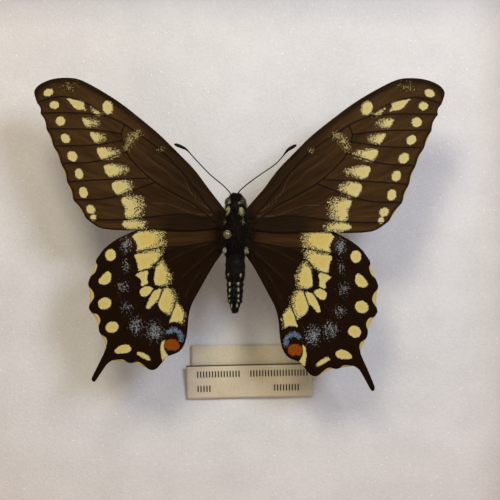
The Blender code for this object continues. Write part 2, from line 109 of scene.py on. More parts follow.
def new_material(name, **sockets):
    """A Principled material; sockets are values on its shader, spaces in their names as underscores."""
    material = bpy.data.materials.new(name)
    material.use_nodes = True
    shader = material.node_tree.nodes["Principled BSDF"]
    for socket, value in sockets.items():
        shader.inputs[socket.replace("_", " ")].default_value = value
    return material


def add_node(material, kind, inputs=None, **settings):
    """Adds a shader node with its settings; inputs are values or links, by socket name or number."""
    tree = material.node_tree
    made = tree.nodes.new("ShaderNode" + kind)
    for setting, value in settings.items():
        setattr(made, setting, value)
    for socket, value in (inputs or {}).items():
        if isinstance(value, bpy.types.NodeSocket):
            tree.links.new(value, made.inputs[socket])
        else:
            made.inputs[socket].default_value = value
    return made


def finish_material(material, colour, height=None, relief=0.0):
    """Links a colour and a bump of the given relief in metres to the shader."""
    tree = material.node_tree
    shader = tree.nodes["Principled BSDF"]
    tree.links.new(colour, shader.inputs["Base Color"])
    if height is not None:
        bump = add_node(material, "Bump", {"Height": height, "Distance": relief, "Strength": 1.0})
        tree.links.new(bump.outputs["Normal"], shader.inputs["Normal"])


floor_corners = [(x * FLOOR_SIDE / 2, y * FLOOR_SIDE / 2, -0.0002) for x, y in
                 ((-1, -1), (1, -1), (1, 1), (-1, 1))]
floor = new_piece("floor", floor_corners, [(0, 1, 2, 3)], smooth=False)
floor_paint = new_material("pale_matt_paint", Base_Color=linear("#dedcd8"), Roughness=0.9)
floor.data.materials.append(floor_paint)


# Frame rails: four mitred beech rails, glued at the corners, planed, eased along their top edges and
# given one coat of satin varnish.
MM = 0.001
GRAIN_WIDTH_MM = 0.9
RING_WIDTH_MM = 5.0
FLECK_LENGTH_MM, FLECK_WIDTH_MM = 2.2, 0.28


def beech(name, along):
    """Varnished beech: warm tan, faint growth bands, fine grain and short dark flecks along the rail."""
    material = new_material(name, Roughness=0.42, Coat_Weight=0.25, Coat_Roughness=0.3)
    place = add_node(material, "TexCoord").outputs["Object"]

    def stretched(width_mm, length_mm):
        sizes = [1 / (width_mm * MM)] * 3
        sizes[along] = 1 / (length_mm * MM)
        return add_node(material, "Mapping", {"Vector": place, "Scale": sizes}).outputs["Vector"]

    grain = add_node(material, "TexNoise", {"Vector": stretched(GRAIN_WIDTH_MM, 40), "Scale": 1.0,
                                            "Detail": 5.0, "Roughness": 0.6}).outputs["Fac"]
    rings = add_node(material, "TexNoise", {"Vector": stretched(RING_WIDTH_MM, 160), "Scale": 1.0,
                                            "Detail": 2.0}).outputs["Fac"]
    flecks = add_node(material, "TexVoronoi", {"Vector": stretched(FLECK_WIDTH_MM * 2, FLECK_LENGTH_MM * 2),
                                               "Scale": 1.0, "Randomness": 1.0}).outputs["Distance"]
    fleck = add_node(material, "MapRange", {"Value": flecks, "From Min": 0.12, "From Max": 0.3,
                                            "To Min": 0.6, "To Max": 0.0}).outputs["Result"]
    band = add_node(material, "Mix", {0: rings, 6: linear("#b98a5a"), 7: linear("#d9b184")},
                    data_type="RGBA").outputs[2]
    fine = add_node(material, "MapRange", {"Value": grain, "From Min": 0.35, "From Max": 0.7,
                                           "To Min": 0.0, "To Max": 0.45}).outputs["Result"]
    colour = band
    for share, tone in ((fine, "#9c6c3f"), (fleck, "#7d5230")):
        colour = add_node(material, "Mix", {0: share, 6: colour, 7: linear(tone)},
                          data_type="RGBA").outputs[2]
    finish_material(material, colour, grain, 0.04 * MM)
    return material


beech_across, beech_upright = beech("beech_grain_across", 0), beech("beech_grain_upright", 1)
for side, wood in (("front", beech_across), ("back", beech_across),
                   ("left", beech_upright), ("right", beech_upright)):
    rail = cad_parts["frame_rail_" + side]
    rail.data.materials.clear()
    rail.data.materials.append(wood)


# Glue lines: a thin film of brown wood glue fills each mitred joint from the inner corner to the outer
# one. It follows the rails' section, so that it leaves the rebate free. The section's points are how
# far out from the middle of the frame and how high they lie.
GLUE_THICK_MM = 0.24
GLUE_MOTTLE_MM = 1.5
GLUE_SECTION_MM = [(69.3, 0.3), (74.7, 0.3), (74.7, 43.4), (73.3, 44.7), (65.7, 44.7), (64.3, 43.4),
                   (64.3, 4.1), (69.3, 4.1)]
wood_glue = new_material("brown_wood_glue", Roughness=0.6)
glue_place = add_node(wood_glue, "TexCoord").outputs["Object"]
glue_tone = add_node(wood_glue, "TexNoise", {"Vector": glue_place, "Scale": 1 / (GLUE_MOTTLE_MM * MM),
                                             "Detail": 3.0}).outputs["Fac"]
glue_colour = add_node(wood_glue, "Mix", {0: glue_tone, 6: linear("#6b4628"), 7: linear("#93663c")},
                       data_type="RGBA").outputs[2]
finish_material(wood_glue, glue_colour, glue_tone, 0.02 * MM)
for corner, (side_x, side_y) in enumerate(((-1, -1), (1, -1), (1, 1), (-1, 1))):
    glue_points = []
    for face in (1, -1):
        shift = face * GLUE_THICK_MM / 2 / math.sqrt(2)
        glue_points += [((out * side_x + shift * side_y) * MM, (out * side_y - shift * side_x) * MM, up * MM)
                        for out, up in GLUE_SECTION_MM]
    corners = len(GLUE_SECTION_MM)
    glue_faces = [tuple(range(corners)), tuple(range(2 * corners - 1, corners - 1, -1))]
    glue_faces += [(i, i + corners, (i + 1) % corners + corners, (i + 1) % corners) for i in range(corners)]
    glue_line = new_piece("glue_line_" + str(corner + 1), np.array(glue_points), glue_faces)
    glue_line.data.set_sharp_from_angle(angle=math.radians(30))
    glue_line.data.materials.append(wood_glue)
    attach(glue_line, "root")


# Back board: a sheet of brown hardboard, pressed from wood fibre, let into the rebate behind the foam.
FIBRE_MM = 0.6
hardboard = new_material("pressed_hardboard", Roughness=0.8)
fibre = add_node(hardboard, "TexNoise", {"Vector": add_node(hardboard, "TexCoord").outputs["Object"],
                                         "Scale": 1 / (FIBRE_MM * MM), "Detail": 6.0, "Roughness": 0.7})
fibre_tone = add_node(hardboard, "MapRange", {"Value": fibre.outputs["Fac"], "From Min": 0.3,
                                              "From Max": 0.7}).outputs["Result"]
hardboard_colour = add_node(hardboard, "Mix", {0: fibre_tone, 6: linear("#6d4a31"), 7: linear("#96704c")},
                            data_type="RGBA").outputs[2]
finish_material(hardboard, hardboard_colour, fibre.outputs["Fac"], 0.05 * MM)
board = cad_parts["back_board"]
board.data.materials.clear()
board.data.materials.append(hardboard)


# Foam: a white board of fine-celled polyethylene foam, cut with a hot wire, which holds the pin. Its
# face is faintly wavy, its cut edges are soft, and the pin has pressed a small dimple in it.
FOAM_CELL_MM = 0.42
FOAM_GRAIN_MM, FOAM_PATCH_MM, FOAM_PAINTED_GLINT_MM = 0.5, 9, 1.7
FOAM_STEP_MM = 0.8
FOAM_WAVE_MM = 0.05
FOAM_EDGE_MM, FOAM_EDGE_DROP_MM = 0.9, 0.35
PIN_DIMPLE_MM, PIN_DIMPLE_REACH_MM = 0.35, 0.8
foam_low, foam_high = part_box("foam_board")
PIN_FOOT = Vector((-2.69 * MM, 0.5 * MM, foam_high.z))
foam_steps = int((foam_high.x - foam_low.x) / (FOAM_STEP_MM * MM))
foam_random = np.random.default_rng(3)


def wavy(x, y, sizes, generator):
    """A smooth random height from sine waves of the given wavelengths, from about -1 to 1."""
    height = np.zeros_like(x)
    for size in sizes:
        for _ in range(4):
            turn, shift = generator.uniform(0, 2 * math.pi, 2)
            height += np.sin((x * math.cos(turn) + y * math.sin(turn)) * 2 * math.pi / size + shift)
    return height / (2.2 * len(sizes) ** 0.5)


steps = np.linspace(0, 1, foam_steps + 1)
grid_x, grid_y = np.meshgrid(foam_low.x + steps * (foam_high.x - foam_low.x),
                             foam_low.y + steps * (foam_high.y - foam_low.y))
from_edge = np.minimum(np.minimum(grid_x - foam_low.x, foam_high.x - grid_x),
                       np.minimum(grid_y - foam_low.y, foam_high.y - grid_y))
from_pin = np.hypot(grid_x - PIN_FOOT.x, grid_y - PIN_FOOT.y)
grid_z = foam_high.z + FOAM_WAVE_MM * MM * (wavy(grid_x, grid_y, (0.021, 0.009), foam_random) - 1.0)
grid_z -= FOAM_EDGE_DROP_MM * MM * np.clip(1 - from_edge / (FOAM_EDGE_MM * MM), 0, 1) ** 2
grid_z -= PIN_DIMPLE_MM * MM * np.exp(-(from_pin / (PIN_DIMPLE_REACH_MM * MM)) ** 2)
count = foam_steps + 1
foam_points = np.column_stack([grid_x.ravel(), grid_y.ravel(), grid_z.ravel()])
foam_faces = [(r * count + c, r * count + c + 1, (r + 1) * count + c + 1, (r + 1) * count + c)
              for r in range(foam_steps) for c in range(foam_steps)]
rim = (list(range(foam_steps)) + [r * count + foam_steps for r in range(foam_steps)]
       + [foam_steps * count + foam_steps - c for c in range(foam_steps)]
       + [(foam_steps - r) * count for r in range(foam_steps)])
below = foam_points[rim].copy()
below[:, 2] = foam_low.z
first_below = len(foam_points)
foam_points = np.vstack([foam_points, below])
for i, top in enumerate(rim):
    after = (i + 1) % len(rim)
    foam_faces.append((top, first_below + i, first_below + after, rim[after]))
foam_faces.append(tuple(first_below + i for i in reversed(range(len(rim)))))
foam = new_piece("foam_sheet", foam_points, foam_faces)
foam.data.set_sharp_from_angle(angle=math.radians(50))

foam_plastic = new_material("white_polyethylene_foam", Roughness=0.75, Specular_IOR_Level=0.35)
foam_place = add_node(foam_plastic, "TexCoord").outputs["Object"]
foam_cells = add_node(foam_plastic, "TexVoronoi", {"Vector": foam_place, "Scale": 1 / (FOAM_CELL_MM * MM)},
                      feature="SMOOTH_F1").outputs["Distance"]
foam_grain = add_node(foam_plastic, "TexNoise", {"Vector": foam_place, "Scale": 1 / (FOAM_GRAIN_MM * MM),
                                                 "Detail": 3.0, "Roughness": 0.6}).outputs["Fac"]
foam_patches = add_node(foam_plastic, "TexNoise", {"Vector": foam_place, "Scale": 1 / (FOAM_PATCH_MM * MM),
                                                   "Detail": 3.0}).outputs["Fac"]
foam_tone = add_node(foam_plastic, "Math", {0: foam_grain, 1: foam_patches}, operation="ADD").outputs[0]
foam_tone = add_node(foam_plastic, "MapRange", {"Value": foam_tone, "From Min": 0.7,
                                                "From Max": 1.3}).outputs["Result"]
foam_colour = add_node(foam_plastic, "Mix", {0: foam_tone, 6: linear("#dad9d6"), 7: linear("#e6e5e2")},
                       data_type="RGBA").outputs[2]
# Painted glints: small near-white specks in the foam's colour stand in for light sparkling off its cells.
painted_glint_cells = add_node(foam_plastic, "TexVoronoi", {"Vector": foam_place,
                                               "Scale": 1 / (FOAM_PAINTED_GLINT_MM * MM)}).outputs["Distance"]
painted_glint = add_node(foam_plastic, "MapRange", {"Value": painted_glint_cells, "From Min": 0.07, "From Max": 0.1,
                                            "To Min": 0.8, "To Max": 0.0}).outputs["Result"]
foam_colour = add_node(foam_plastic, "Mix", {0: painted_glint, 6: foam_colour, 7: linear("#fbfaf6")},
                       data_type="RGBA").outputs[2]
finish_material(foam_plastic, foam_colour, foam_cells, 0.05 * MM)
foam.data.materials.append(foam_plastic)
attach(foam, "root")
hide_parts("foam_board")


# Labels: two slips of aged cream card, guillotined from a sheet and laid on the foam, the front one
# leaning on the back one. The front one has a dark line along its top edge and rows of plain strokes; the
# back one is bare.
LABEL_WIDTH, LABEL_LENGTH, LABEL_THICK = 25.6 * MM, 7 * MM, 0.25 * MM
LABEL_SHEET = 0.12 * MM
LABEL_RISE = 0.85 * MM
LABEL_CURL = 0.12 * MM
LABEL_GAP = 0.3 * MM
LABEL_STEPS = (52, 14)
LABEL_FIBRE_MM, LABEL_STAIN_MM = 0.35, 4.5
DARK_ROW_EDGE_MM, DARK_ROW_SHARE = 0.1, 0.93
STROKE_MM = 0.3
# Dark rows in millimetres from the slip's middle: y, from x, to x, half height, stroke width or None. The
# first is a dark line along the top edge.
FRONT_ROWS = [(3.36, -12.8, 12.8, 0.14, None), (1.55, -11.0, -1.8, 0.66, STROKE_MM),
              (1.55, -0.2, 12.2, 0.66, STROKE_MM), (-1.45, -11.0, -7.6, 0.66, STROKE_MM),
              (-1.45, 4.6, 10.4, 0.66, STROKE_MM)]


def card_slip(name, node, place, lean, turn, dark_rows):
    """A slip of card, a little curled, with dark rows where it has any."""
    columns, rows = LABEL_STEPS
    points = []
    for r in range(rows + 1):
        for c in range(columns + 1):
            u, v = 2 * c / columns - 1, 2 * r / rows - 1
            curl = LABEL_CURL * (0.6 * u ** 2 - 0.4 * v * u)
            points.append((u * LABEL_WIDTH / 2, v * LABEL_LENGTH / 2, curl))
    faces = [(r * (columns + 1) + c, r * (columns + 1) + c + 1, (r + 1) * (columns + 1) + c + 1,
              (r + 1) * (columns + 1) + c) for r in range(rows) for c in range(columns)]
    slip = new_piece(name, points, faces)
    sheet = slip.modifiers.new("card", "SOLIDIFY")
    sheet.thickness, sheet.offset = LABEL_SHEET, 0.0
    slip.location = place
    slip.rotation_euler = (lean, 0, turn)

    card = new_material(name + "_aged_card", Roughness=0.82, Specular_IOR_Level=0.3)
    spot = add_node(card, "TexCoord").outputs["Object"]
    fibres = add_node(card, "TexNoise", {"Vector": spot, "Scale": 1 / (LABEL_FIBRE_MM * MM),
                                         "Detail": 5.0}).outputs["Fac"]
    stains = add_node(card, "TexNoise", {"Vector": spot, "Scale": 1 / (LABEL_STAIN_MM * MM),
                                         "Detail": 3.0}).outputs["Fac"]
    tone = add_node(card, "Math", {0: fibres, 1: stains}, operation="ADD").outputs[0]
    tone = add_node(card, "MapRange", {"Value": tone, "From Min": 0.6, "From Max": 1.4}).outputs["Result"]
    colour = add_node(card, "Mix", {0: tone, 6: linear("#cbbc9b"), 7: linear("#e0d5ba")},
                      data_type="RGBA").outputs[2]
    across = add_node(card, "SeparateXYZ", {0: spot})
    x, y = across.outputs["X"], across.outputs["Y"]
    # Each dark row: the first is a dark line along the slip's top edge, the others are rows of plain strokes.
    for row_y, from_x, to_x, half_height, stroke in dark_rows:
        off = add_node(card, "Math", {0: y, 1: row_y * MM}, operation="SUBTRACT").outputs[0]
        off = add_node(card, "Math", {0: off}, operation="ABSOLUTE").outputs[0]
        dark_row = add_node(card, "MapRange", {"Value": off, "From Min": half_height * MM * 1.2,
                                          "From Max": half_height * MM * 0.8}).outputs["Result"]
        for edge, way in ((from_x, 1), (to_x, -1)):
            past = add_node(card, "Math", {0: x, 1: edge * MM}, operation="SUBTRACT").outputs[0]
            past = add_node(card, "Math", {0: past, 1: way / (DARK_ROW_EDGE_MM * MM)}, operation="MULTIPLY",
                            use_clamp=True).outputs[0]
            dark_row = add_node(card, "Math", {0: dark_row, 1: past}, operation="MULTIPLY").outputs[0]
        if stroke:
            phase = add_node(card, "Math", {0: x, 1: stroke * MM}, operation="PINGPONG").outputs[0]
            strokes = add_node(card, "MapRange", {"Value": phase, "From Min": stroke * MM * 0.4,
                                                  "From Max": stroke * MM * 0.6}).outputs["Result"]
            dark_row = add_node(card, "Math", {0: dark_row, 1: strokes}, operation="MULTIPLY").outputs[0]
        dark_row = add_node(card, "Math", {0: dark_row, 1: DARK_ROW_SHARE}, operation="MULTIPLY").outputs[0]
        colour = add_node(card, "Mix", {0: dark_row, 6: colour, 7: linear("#231c14")}, data_type="RGBA").outputs[2]
    finish_material(card, colour, fibres, 0.03 * MM)
    slip.data.materials.append(card)
    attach(slip, "root")
    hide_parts(node)


label_z = foam_high.z + LABEL_GAP + LABEL_THICK / 2
card_slip("label_back_slip", "label_back", (2.75 * MM, -25.2 * MM, label_z), 0.0, 0.0, [])
card_slip("label_front_slip", "label_front", (1.8 * MM, -28.95 * MM, label_z + LABEL_RISE / 2),
          math.asin(LABEL_RISE / LABEL_LENGTH), math.radians(1.2), FRONT_ROWS)


# Pin: a 38 mm insect pin, blackened steel wire ground to a point, with a round brassy enamelled head. It
# leans to the left, through the thorax and into the foam.
SPECIMEN = Vector((-0.85 * MM, 0.95 * MM, 29.8 * MM))
PIN_LENGTH, PIN_RADIUS, PIN_HEAD_RADIUS = 37.5 * MM, 0.2 * MM, 0.78 * MM
PIN_POINT = 2.5 * MM
ENAMEL_WEAR_MM, WIRE_LINE_MM = 0.5, 0.3
PIN_LEAN = math.radians(7.1)
PIN_DEPTH_IN_FOAM = 8.5 * MM
PIN_AT_WINGS = Vector((0.15 * MM, -0.45 * MM, 0.0))


def turned(name, profile, around):
    """A shape turned about Z from (radius, height) points, top first; radius 0 closes an end."""
    points, rings = [], []
    for radius, height in profile:
        sides = around if radius > 0 else 1
        rings.append(range(len(points), len(points) + sides))
        for k in range(sides):
            angle = 2 * math.pi * k / around
            points.append((radius * math.cos(angle), radius * math.sin(angle), height))
    faces = []
    for upper, lower in zip(rings, rings[1:]):
        for k in range(around):
            a, b = upper[k % len(upper)], upper[(k + 1) % len(upper)]
            c, d = lower[(k + 1) % len(lower)], lower[k % len(lower)]
            faces.append(tuple(dict.fromkeys((a, d, c, b))))
    return new_piece(name, points, faces)


pin_below_wings = (SPECIMEN.z - foam_high.z + PIN_DEPTH_IN_FOAM) / math.cos(PIN_LEAN)
pin_place = (Matrix.Translation(SPECIMEN + PIN_AT_WINGS) @ Matrix.Rotation(-PIN_LEAN, 4, "Y")
             @ Matrix.Translation((0, 0, -pin_below_wings)))
head_z = PIN_LENGTH - PIN_HEAD_RADIUS
head_profile = [(PIN_HEAD_RADIUS * math.sin(math.radians(a)),
                 head_z + PIN_HEAD_RADIUS * math.cos(math.radians(a))) for a in range(0, 160, 8)]
head_profile[0] = (0.0, PIN_LENGTH)
head_profile += [(PIN_RADIUS * 1.5, head_z - PIN_HEAD_RADIUS * 0.98), (0.0, head_z - PIN_HEAD_RADIUS * 0.99)]
shaft_profile = [(0.0, head_z)]
shaft_profile += [(PIN_RADIUS, head_z - t * (head_z - PIN_POINT)) for t in np.linspace(0, 1, 9)]
shaft_profile += [(PIN_RADIUS * 0.6, PIN_POINT * 0.4), (0.0, 0.0)]

enamel = new_material("brassy_pin_enamel", Roughness=0.22, Metallic=0.55, Coat_Weight=0.6,
                      Coat_Roughness=0.08)
enamel_wear = add_node(enamel, "TexNoise", {"Vector": add_node(enamel, "TexCoord").outputs["Object"],
                                            "Scale": 1 / (ENAMEL_WEAR_MM * MM), "Detail": 4.0}).outputs["Fac"]
enamel_colour = add_node(enamel, "Mix", {0: enamel_wear, 6: linear("#4d431f"), 7: linear("#7c7146")},
                         data_type="RGBA").outputs[2]
finish_material(enamel, enamel_colour, enamel_wear, 0.01 * MM)
steel = new_material("blackened_steel_wire", Metallic=0.8, Roughness=0.38)
drawn_lines = add_node(steel, "TexNoise", {"Vector": add_node(steel, "TexCoord").outputs["Object"],
                                           "Scale": 1 / (WIRE_LINE_MM * MM), "Detail": 3.0}).outputs["Fac"]
steel_colour = add_node(steel, "Mix", {0: drawn_lines, 6: linear("#2b2826"), 7: linear("#4a4642")},
                        data_type="RGBA").outputs[2]
finish_material(steel, steel_colour)
for name, profile, metal in (("pin_head", head_profile, enamel), ("pin_shaft", shaft_profile, steel)):
    pin_piece = turned(name, profile, 32 if name == "pin_head" else 14)
    pin_piece.matrix_world = pin_place
    pin_piece.data.materials.append(metal)
    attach(pin_piece, "root")
    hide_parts("pin")


# Wings: two forewings over two hindwings, dry membranes on hollow veins, covered on both faces with
# dust-fine scales. Outlines, veins and marks are in millimetres from the thorax: outwards, forwards.
FOREWING_ROOT = [(1.9, 1.3), (1.8, 1.9), (1.7, 3.0), (1.75, 4.1)]
FOREWING_COSTA = [(4.85, 8.1), (7.7, 11.9), (10.55, 14.85), (14.35, 18.6), (18.15, 21.8), (21.95, 24.75),
                  (26.1, 27.35), (29.5, 29.05), (32.0, 29.4), (34.6, 29.15), (36.7, 28.35), (37.8, 27.4),
                  (38.1, 26.4)]
FOREWING_VEIN_ENDS = [(37.5, 24.5), (36.9, 22.6), (35.8, 19.7), (34.5, 16.5), (33.0, 13.1), (31.85, 9.7),
                      (30.7, 6.3), (28.3, 2.75)]
FOREWING_INNER = [(26.1, 1.15), (23.8, 0.63), (20.0, 0.5), (16.2, 0.7), (12.4, 0.5), (8.6, 0.4), (5.6, 0.65)]
FOREWING_SCALLOP = 0.3
FOREWING_VEINS = [
    [(37.2, 24.8), (33.3, 25.8), (30.5, 25.4), (27.3, 24.1), (24.6, 22.2)],
    [(36.4, 22.7), (29.5, 22.7), (24.6, 22.2)],
    [(35.3, 19.7), (27.6, 19.6), (21.6, 18.8)],
    [(34.0, 16.5), (27.6, 16.6), (21.3, 17.5)],
    [(32.5, 13.2), (26.7, 13.5), (20.8, 15.3)],
    [(31.4, 9.7), (24.8, 10.1), (16.2, 10.4)],
    [(30.2, 6.3), (23.8, 6.65), (15.3, 9.6)],
    [(27.8, 2.5), (20.0, 2.6), (10.5, 3.6), (5.8, 2.9)],
    [(3.9, 2.1), (7.7, 5.3), (12.4, 7.9), (16.2, 10.4), (20.0, 14.25), (21.3, 17.5), (21.6, 18.8),
     (21.0, 20.5)],
    [(24.6, 22.2), (21.0, 20.5), (14.3, 15.8), (10.5, 12.0), (6.7, 7.2), (3.9, 3.4)],
]
HINDWING_COSTA = [(1.9, 1.9), (7.7, 2.1), (12.4, 1.75), (16.2, 1.3), (18.9, 0.5), (21.0, -0.4), (22.9, -1.4),
                  (24.8, -2.85), (25.75, -4.05), (26.5, -5.2)]
HINDWING_LOBES = [
    (26.2, -6.1), (26.35, -6.85), (26.7, -7.6), (27.45, -8.3), (27.9, -9.1), (28.0, -9.8), (27.75, -10.2),
    (27.1, -11.0), (26.83, -11.8), (26.9, -12.4), (27.4, -13.2), (27.87, -13.9), (27.87, -14.45),
    (27.2, -15.2), (26.3, -15.4), (25.7, -16.4), (25.85, -17.3), (26.1, -18.0), (25.95, -18.9),
    (25.4, -19.4), (24.7, -19.9), (24.45, -20.6), (24.6, -21.5)]
HINDWING_TAIL = [(25.2, -23.0), (26.2, -25.05), (27.35, -27.15), (27.6, -27.8), (27.3, -28.25),
                 (26.8, -28.05), (26.3, -27.35), (25.4, -26.1), (24.6, -25.05), (24.0, -24.6)]
HINDWING_REAR = [(23.4, -24.25), (22.3, -24.1), (21.4, -24.15), (20.6, -24.7), (19.9, -24.87), (19.1, -24.55),
                 (18.3, -24.7), (17.4, -25.35), (16.35, -26.2), (15.3, -26.05), (14.6, -25.4), (13.95, -24.6)]
HINDWING_INNER = [(13.1, -23.65), (11.8, -23.15), (10.75, -22.6), (9.9, -21.5), (9.4, -19.95), (9.15, -18.2),
                  (8.93, -15.8), (8.3, -13.5), (6.8, -10.7), (4.75, -7.1), (3.4, -5.0), (1.9, -3.0)]
HINDWING_VEINS = [
    [(9.6, -2.5), (13.6, -2.75), (19.1, -3.6), (21.5, -4.6), (24.8, -6.6), (27.4, -9.0)],
    [(15.9, -6.7), (18.9, -7.5), (21.2, -8.4), (25.0, -11.0), (27.4, -13.9)],
    [(16.1, -9.6), (18.1, -10.45), (21.2, -12.2), (24.4, -15.8), (25.7, -18.0)],
    [(15.1, -10.2), (16.6, -12.2), (19.1, -15.2), (22.3, -19.8), (24.9, -23.3), (27.0, -27.4)],
    [(13.8, -10.3), (14.7, -13.1), (16.6, -17.5), (19.5, -22.8), (19.9, -24.4)],
    [(11.3, -9.9), (11.3, -12.7), (12.3, -15.6), (13.8, -18.8), (15.1, -22.6), (15.9, -25.6)],
    [(3.9, -3.3), (7.3, -9.0), (9.6, -15.0), (10.2, -19.0), (11.6, -22.4)],
    [(2.9, -1.4), (9.6, -2.5), (13.0, -3.6), (14.3, -4.9), (15.9, -6.7), (16.3, -8.9), (15.8, -10.0),
     (15.1, -10.2), (13.8, -10.3), (11.3, -9.9), (7.7, -6.7), (2.9, -2.5)],
]
# Folds: fine pale creases between the veins
FOREWING_FOLDS = [
    [(5.2, 4.6), (7.9, 6.7), (10.1, 11.0), (12.0, 12.75), (15.4, 14.9)],
    [(4.75, 4.3), (8.9, 8.15), (11.8, 10.3), (14.0, 12.3), (17.0, 14.2)],
    [(4.3, 3.55), (7.65, 3.6), (10.6, 4.75), (13.0, 5.5), (16.0, 5.6)],
    [(4.6, 3.2), (8.6, 5.5), (12.6, 7.6), (16.4, 10.1), (18.0, 11.8)],
    [(19.8, 20.3), (22.9, 22.3), (25.2, 23.4)],
]
HINDWING_FOLDS = [
    [(3.4, -0.9), (5.6, 0.2), (6.6, 0.5)],
    [(4.2, -1.2), (6.2, -0.2)],
    [(3.2, -2.2), (6.4, -5.0), (10.2, -8.4)],
    [(4.6, -4.9), (7.6, -8.4), (9.6, -12.0)],
    [(5.0, -1.9), (9.5, -3.6), (13.4, -5.8)],
]
# Notches of the outer edge, from tip to tip, that pale fringe hairs fill up
FOREWING_NOTCHES = list(zip(FOREWING_VEIN_ENDS[2:], FOREWING_VEIN_ENDS[3:]))
HINDWING_NOTCHES = [
    ((26.4, -5.4), (27.9, -9.3)), ((27.95, -10.0), (27.85, -13.8)), ((27.7, -14.7), (26.1, -17.9)),
    ((25.9, -19.0), (24.7, -21.8)), ((23.6, -24.35), (20.3, -24.8)), ((19.6, -24.8), (16.6, -26.1))]
FRINGE_SHARE = 0.8
# How each wing is set: its side, growth outwards and forwards, turn in degrees, shift, share by which
# its tail is longer, and how far its leading edge is pushed out near the root
WING_SPREAD = {
    "forewing_left": (-1, 1.0, 1.0, 0.0, (0.0, 0.0), 0.0, 0.0),
    "forewing_right": (1, 1.053, 1.02, -0.6, (-0.8, -0.3), 0.0, 0.6),
    "hindwing_left": (-1, 1.0, 1.0, 0.0, (0.0, 0.0), 0.07, 0.0),
    "hindwing_right": (1, 0.993, 1.042, 0.0, (-0.7, -0.1), 0.23, 0.0),
}
TAIL_BEGINS = (22.0, -25.0)
HOLLOW_CENTRE, HOLLOW_REACH = (5.5, 9.0), 12.0
WING_ROOT_LEAST = 1.5
NET_MM = 0.3
MEMBRANE_THICK = 0.12 * MM
VEIN_HEIGHT_MM = 0.09
WING_RISE = 0.02
HINDWING_DROP, HINDWING_DROOP = 0.4 * MM, 2.5

# Marks: each is its outline and how wide its edge dissolves into single scales, on the outer side
# and on the side towards the body
CRISP, DUSTED, LONG_DUSTED = 0.12, 1.0, 1.6


def ellipse(x, y, half_long, half_short, tilt):
    """An ellipse's outline; the tilt is in degrees from the outward axis."""
    turn = math.radians(tilt)
    return [(x + half_long * math.cos(a) * math.cos(turn) - half_short * math.sin(a) * math.sin(turn),
             y + half_long * math.cos(a) * math.sin(turn) + half_short * math.sin(a) * math.cos(turn))
            for a in np.linspace(0, 2 * math.pi, 12, endpoint=False)]


FOREWING_SPOTS = [(ellipse(*spot), CRISP, CRISP * 1.4) for spot in (
    (35.4, 26.6, 0.95, 0.71, -28), (34.3, 24.2, 0.86, 0.76, 0), (33.15, 21.2, 0.9, 0.9, 0),
    (32.2, 17.9, 0.98, 0.78, 45), (30.9, 14.5, 1.05, 0.85, 55), (29.6, 11.2, 1.0, 0.78, 70),
    (28.8, 7.66, 1.05, 0.8, 75), (27.45, 4.47, 0.9, 0.78, 45), (26.9, 2.9, 0.6, 0.55, 60))]
FOREWING_SPOTS += [
    (ellipse(24.2, 23.75, 1.3, 0.95, 75), CRISP, 0.35),
    ([(32.0, 25.5), (30.9, 25.3), (29.5, 25.1), (28.6, 24.7), (28.7, 23.9), (28.2, 23.2), (29.0, 23.4),
      (29.9, 23.4), (30.7, 23.9), (31.4, 24.8)], CRISP, 0.2),
    ([(27.4, 23.9), (26.2, 23.1), (25.2, 22.4), (26.6, 22.6)], 0.35, 0.5),
    ([(29.0, 21.75), (28.0, 21.65), (27.1, 21.3), (26.3, 20.9), (27.3, 20.4), (28.2, 20.2), (28.6, 20.7),
      (28.9, 21.3)], CRISP, DUSTED),
    ([(27.55, 19.1), (26.5, 18.9), (25.55, 18.4), (25.0, 17.95), (25.6, 17.6), (26.3, 17.1), (26.9, 17.5),
      (27.3, 18.15)], CRISP, DUSTED),
    ([(26.2, 15.95), (25.2, 16.15), (24.0, 15.9), (22.9, 15.4), (22.3, 15.1), (23.3, 14.6), (24.4, 14.15),
      (25.2, 13.9), (25.8, 14.6), (26.2, 15.4)], CRISP, DUSTED),
    ([(24.9, 12.7), (23.85, 13.0), (22.7, 12.8), (21.6, 12.35), (20.8, 12.0), (21.75, 11.4), (22.9, 10.9),
      (23.85, 10.7), (24.6, 11.4)], CRISP, DUSTED),
    ([(23.3, 9.5), (22.3, 9.9), (21.2, 9.9), (20.05, 9.3), (19.8, 8.65), (20.4, 8.1), (21.4, 7.5),
      (22.3, 7.2), (23.0, 7.9), (23.4, 8.75)], CRISP, DUSTED),
    ([(21.6, 6.45), (20.6, 6.8), (19.6, 6.6), (18.4, 6.1), (18.1, 5.2), (18.7, 4.5), (18.4, 3.7),
      (19.1, 2.95), (20.05, 2.65), (20.8, 3.2), (21.0, 4.1), (20.8, 4.7), (21.4, 5.5)], 0.2, LONG_DUSTED),
    ([(21.4, 2.0), (20.4, 2.4), (19.1, 2.45), (18.0, 2.1), (17.2, 1.5), (18.0, 0.95), (19.5, 0.8),
      (20.8, 1.05), (21.5, 1.5)], 0.2, DUSTED),
]
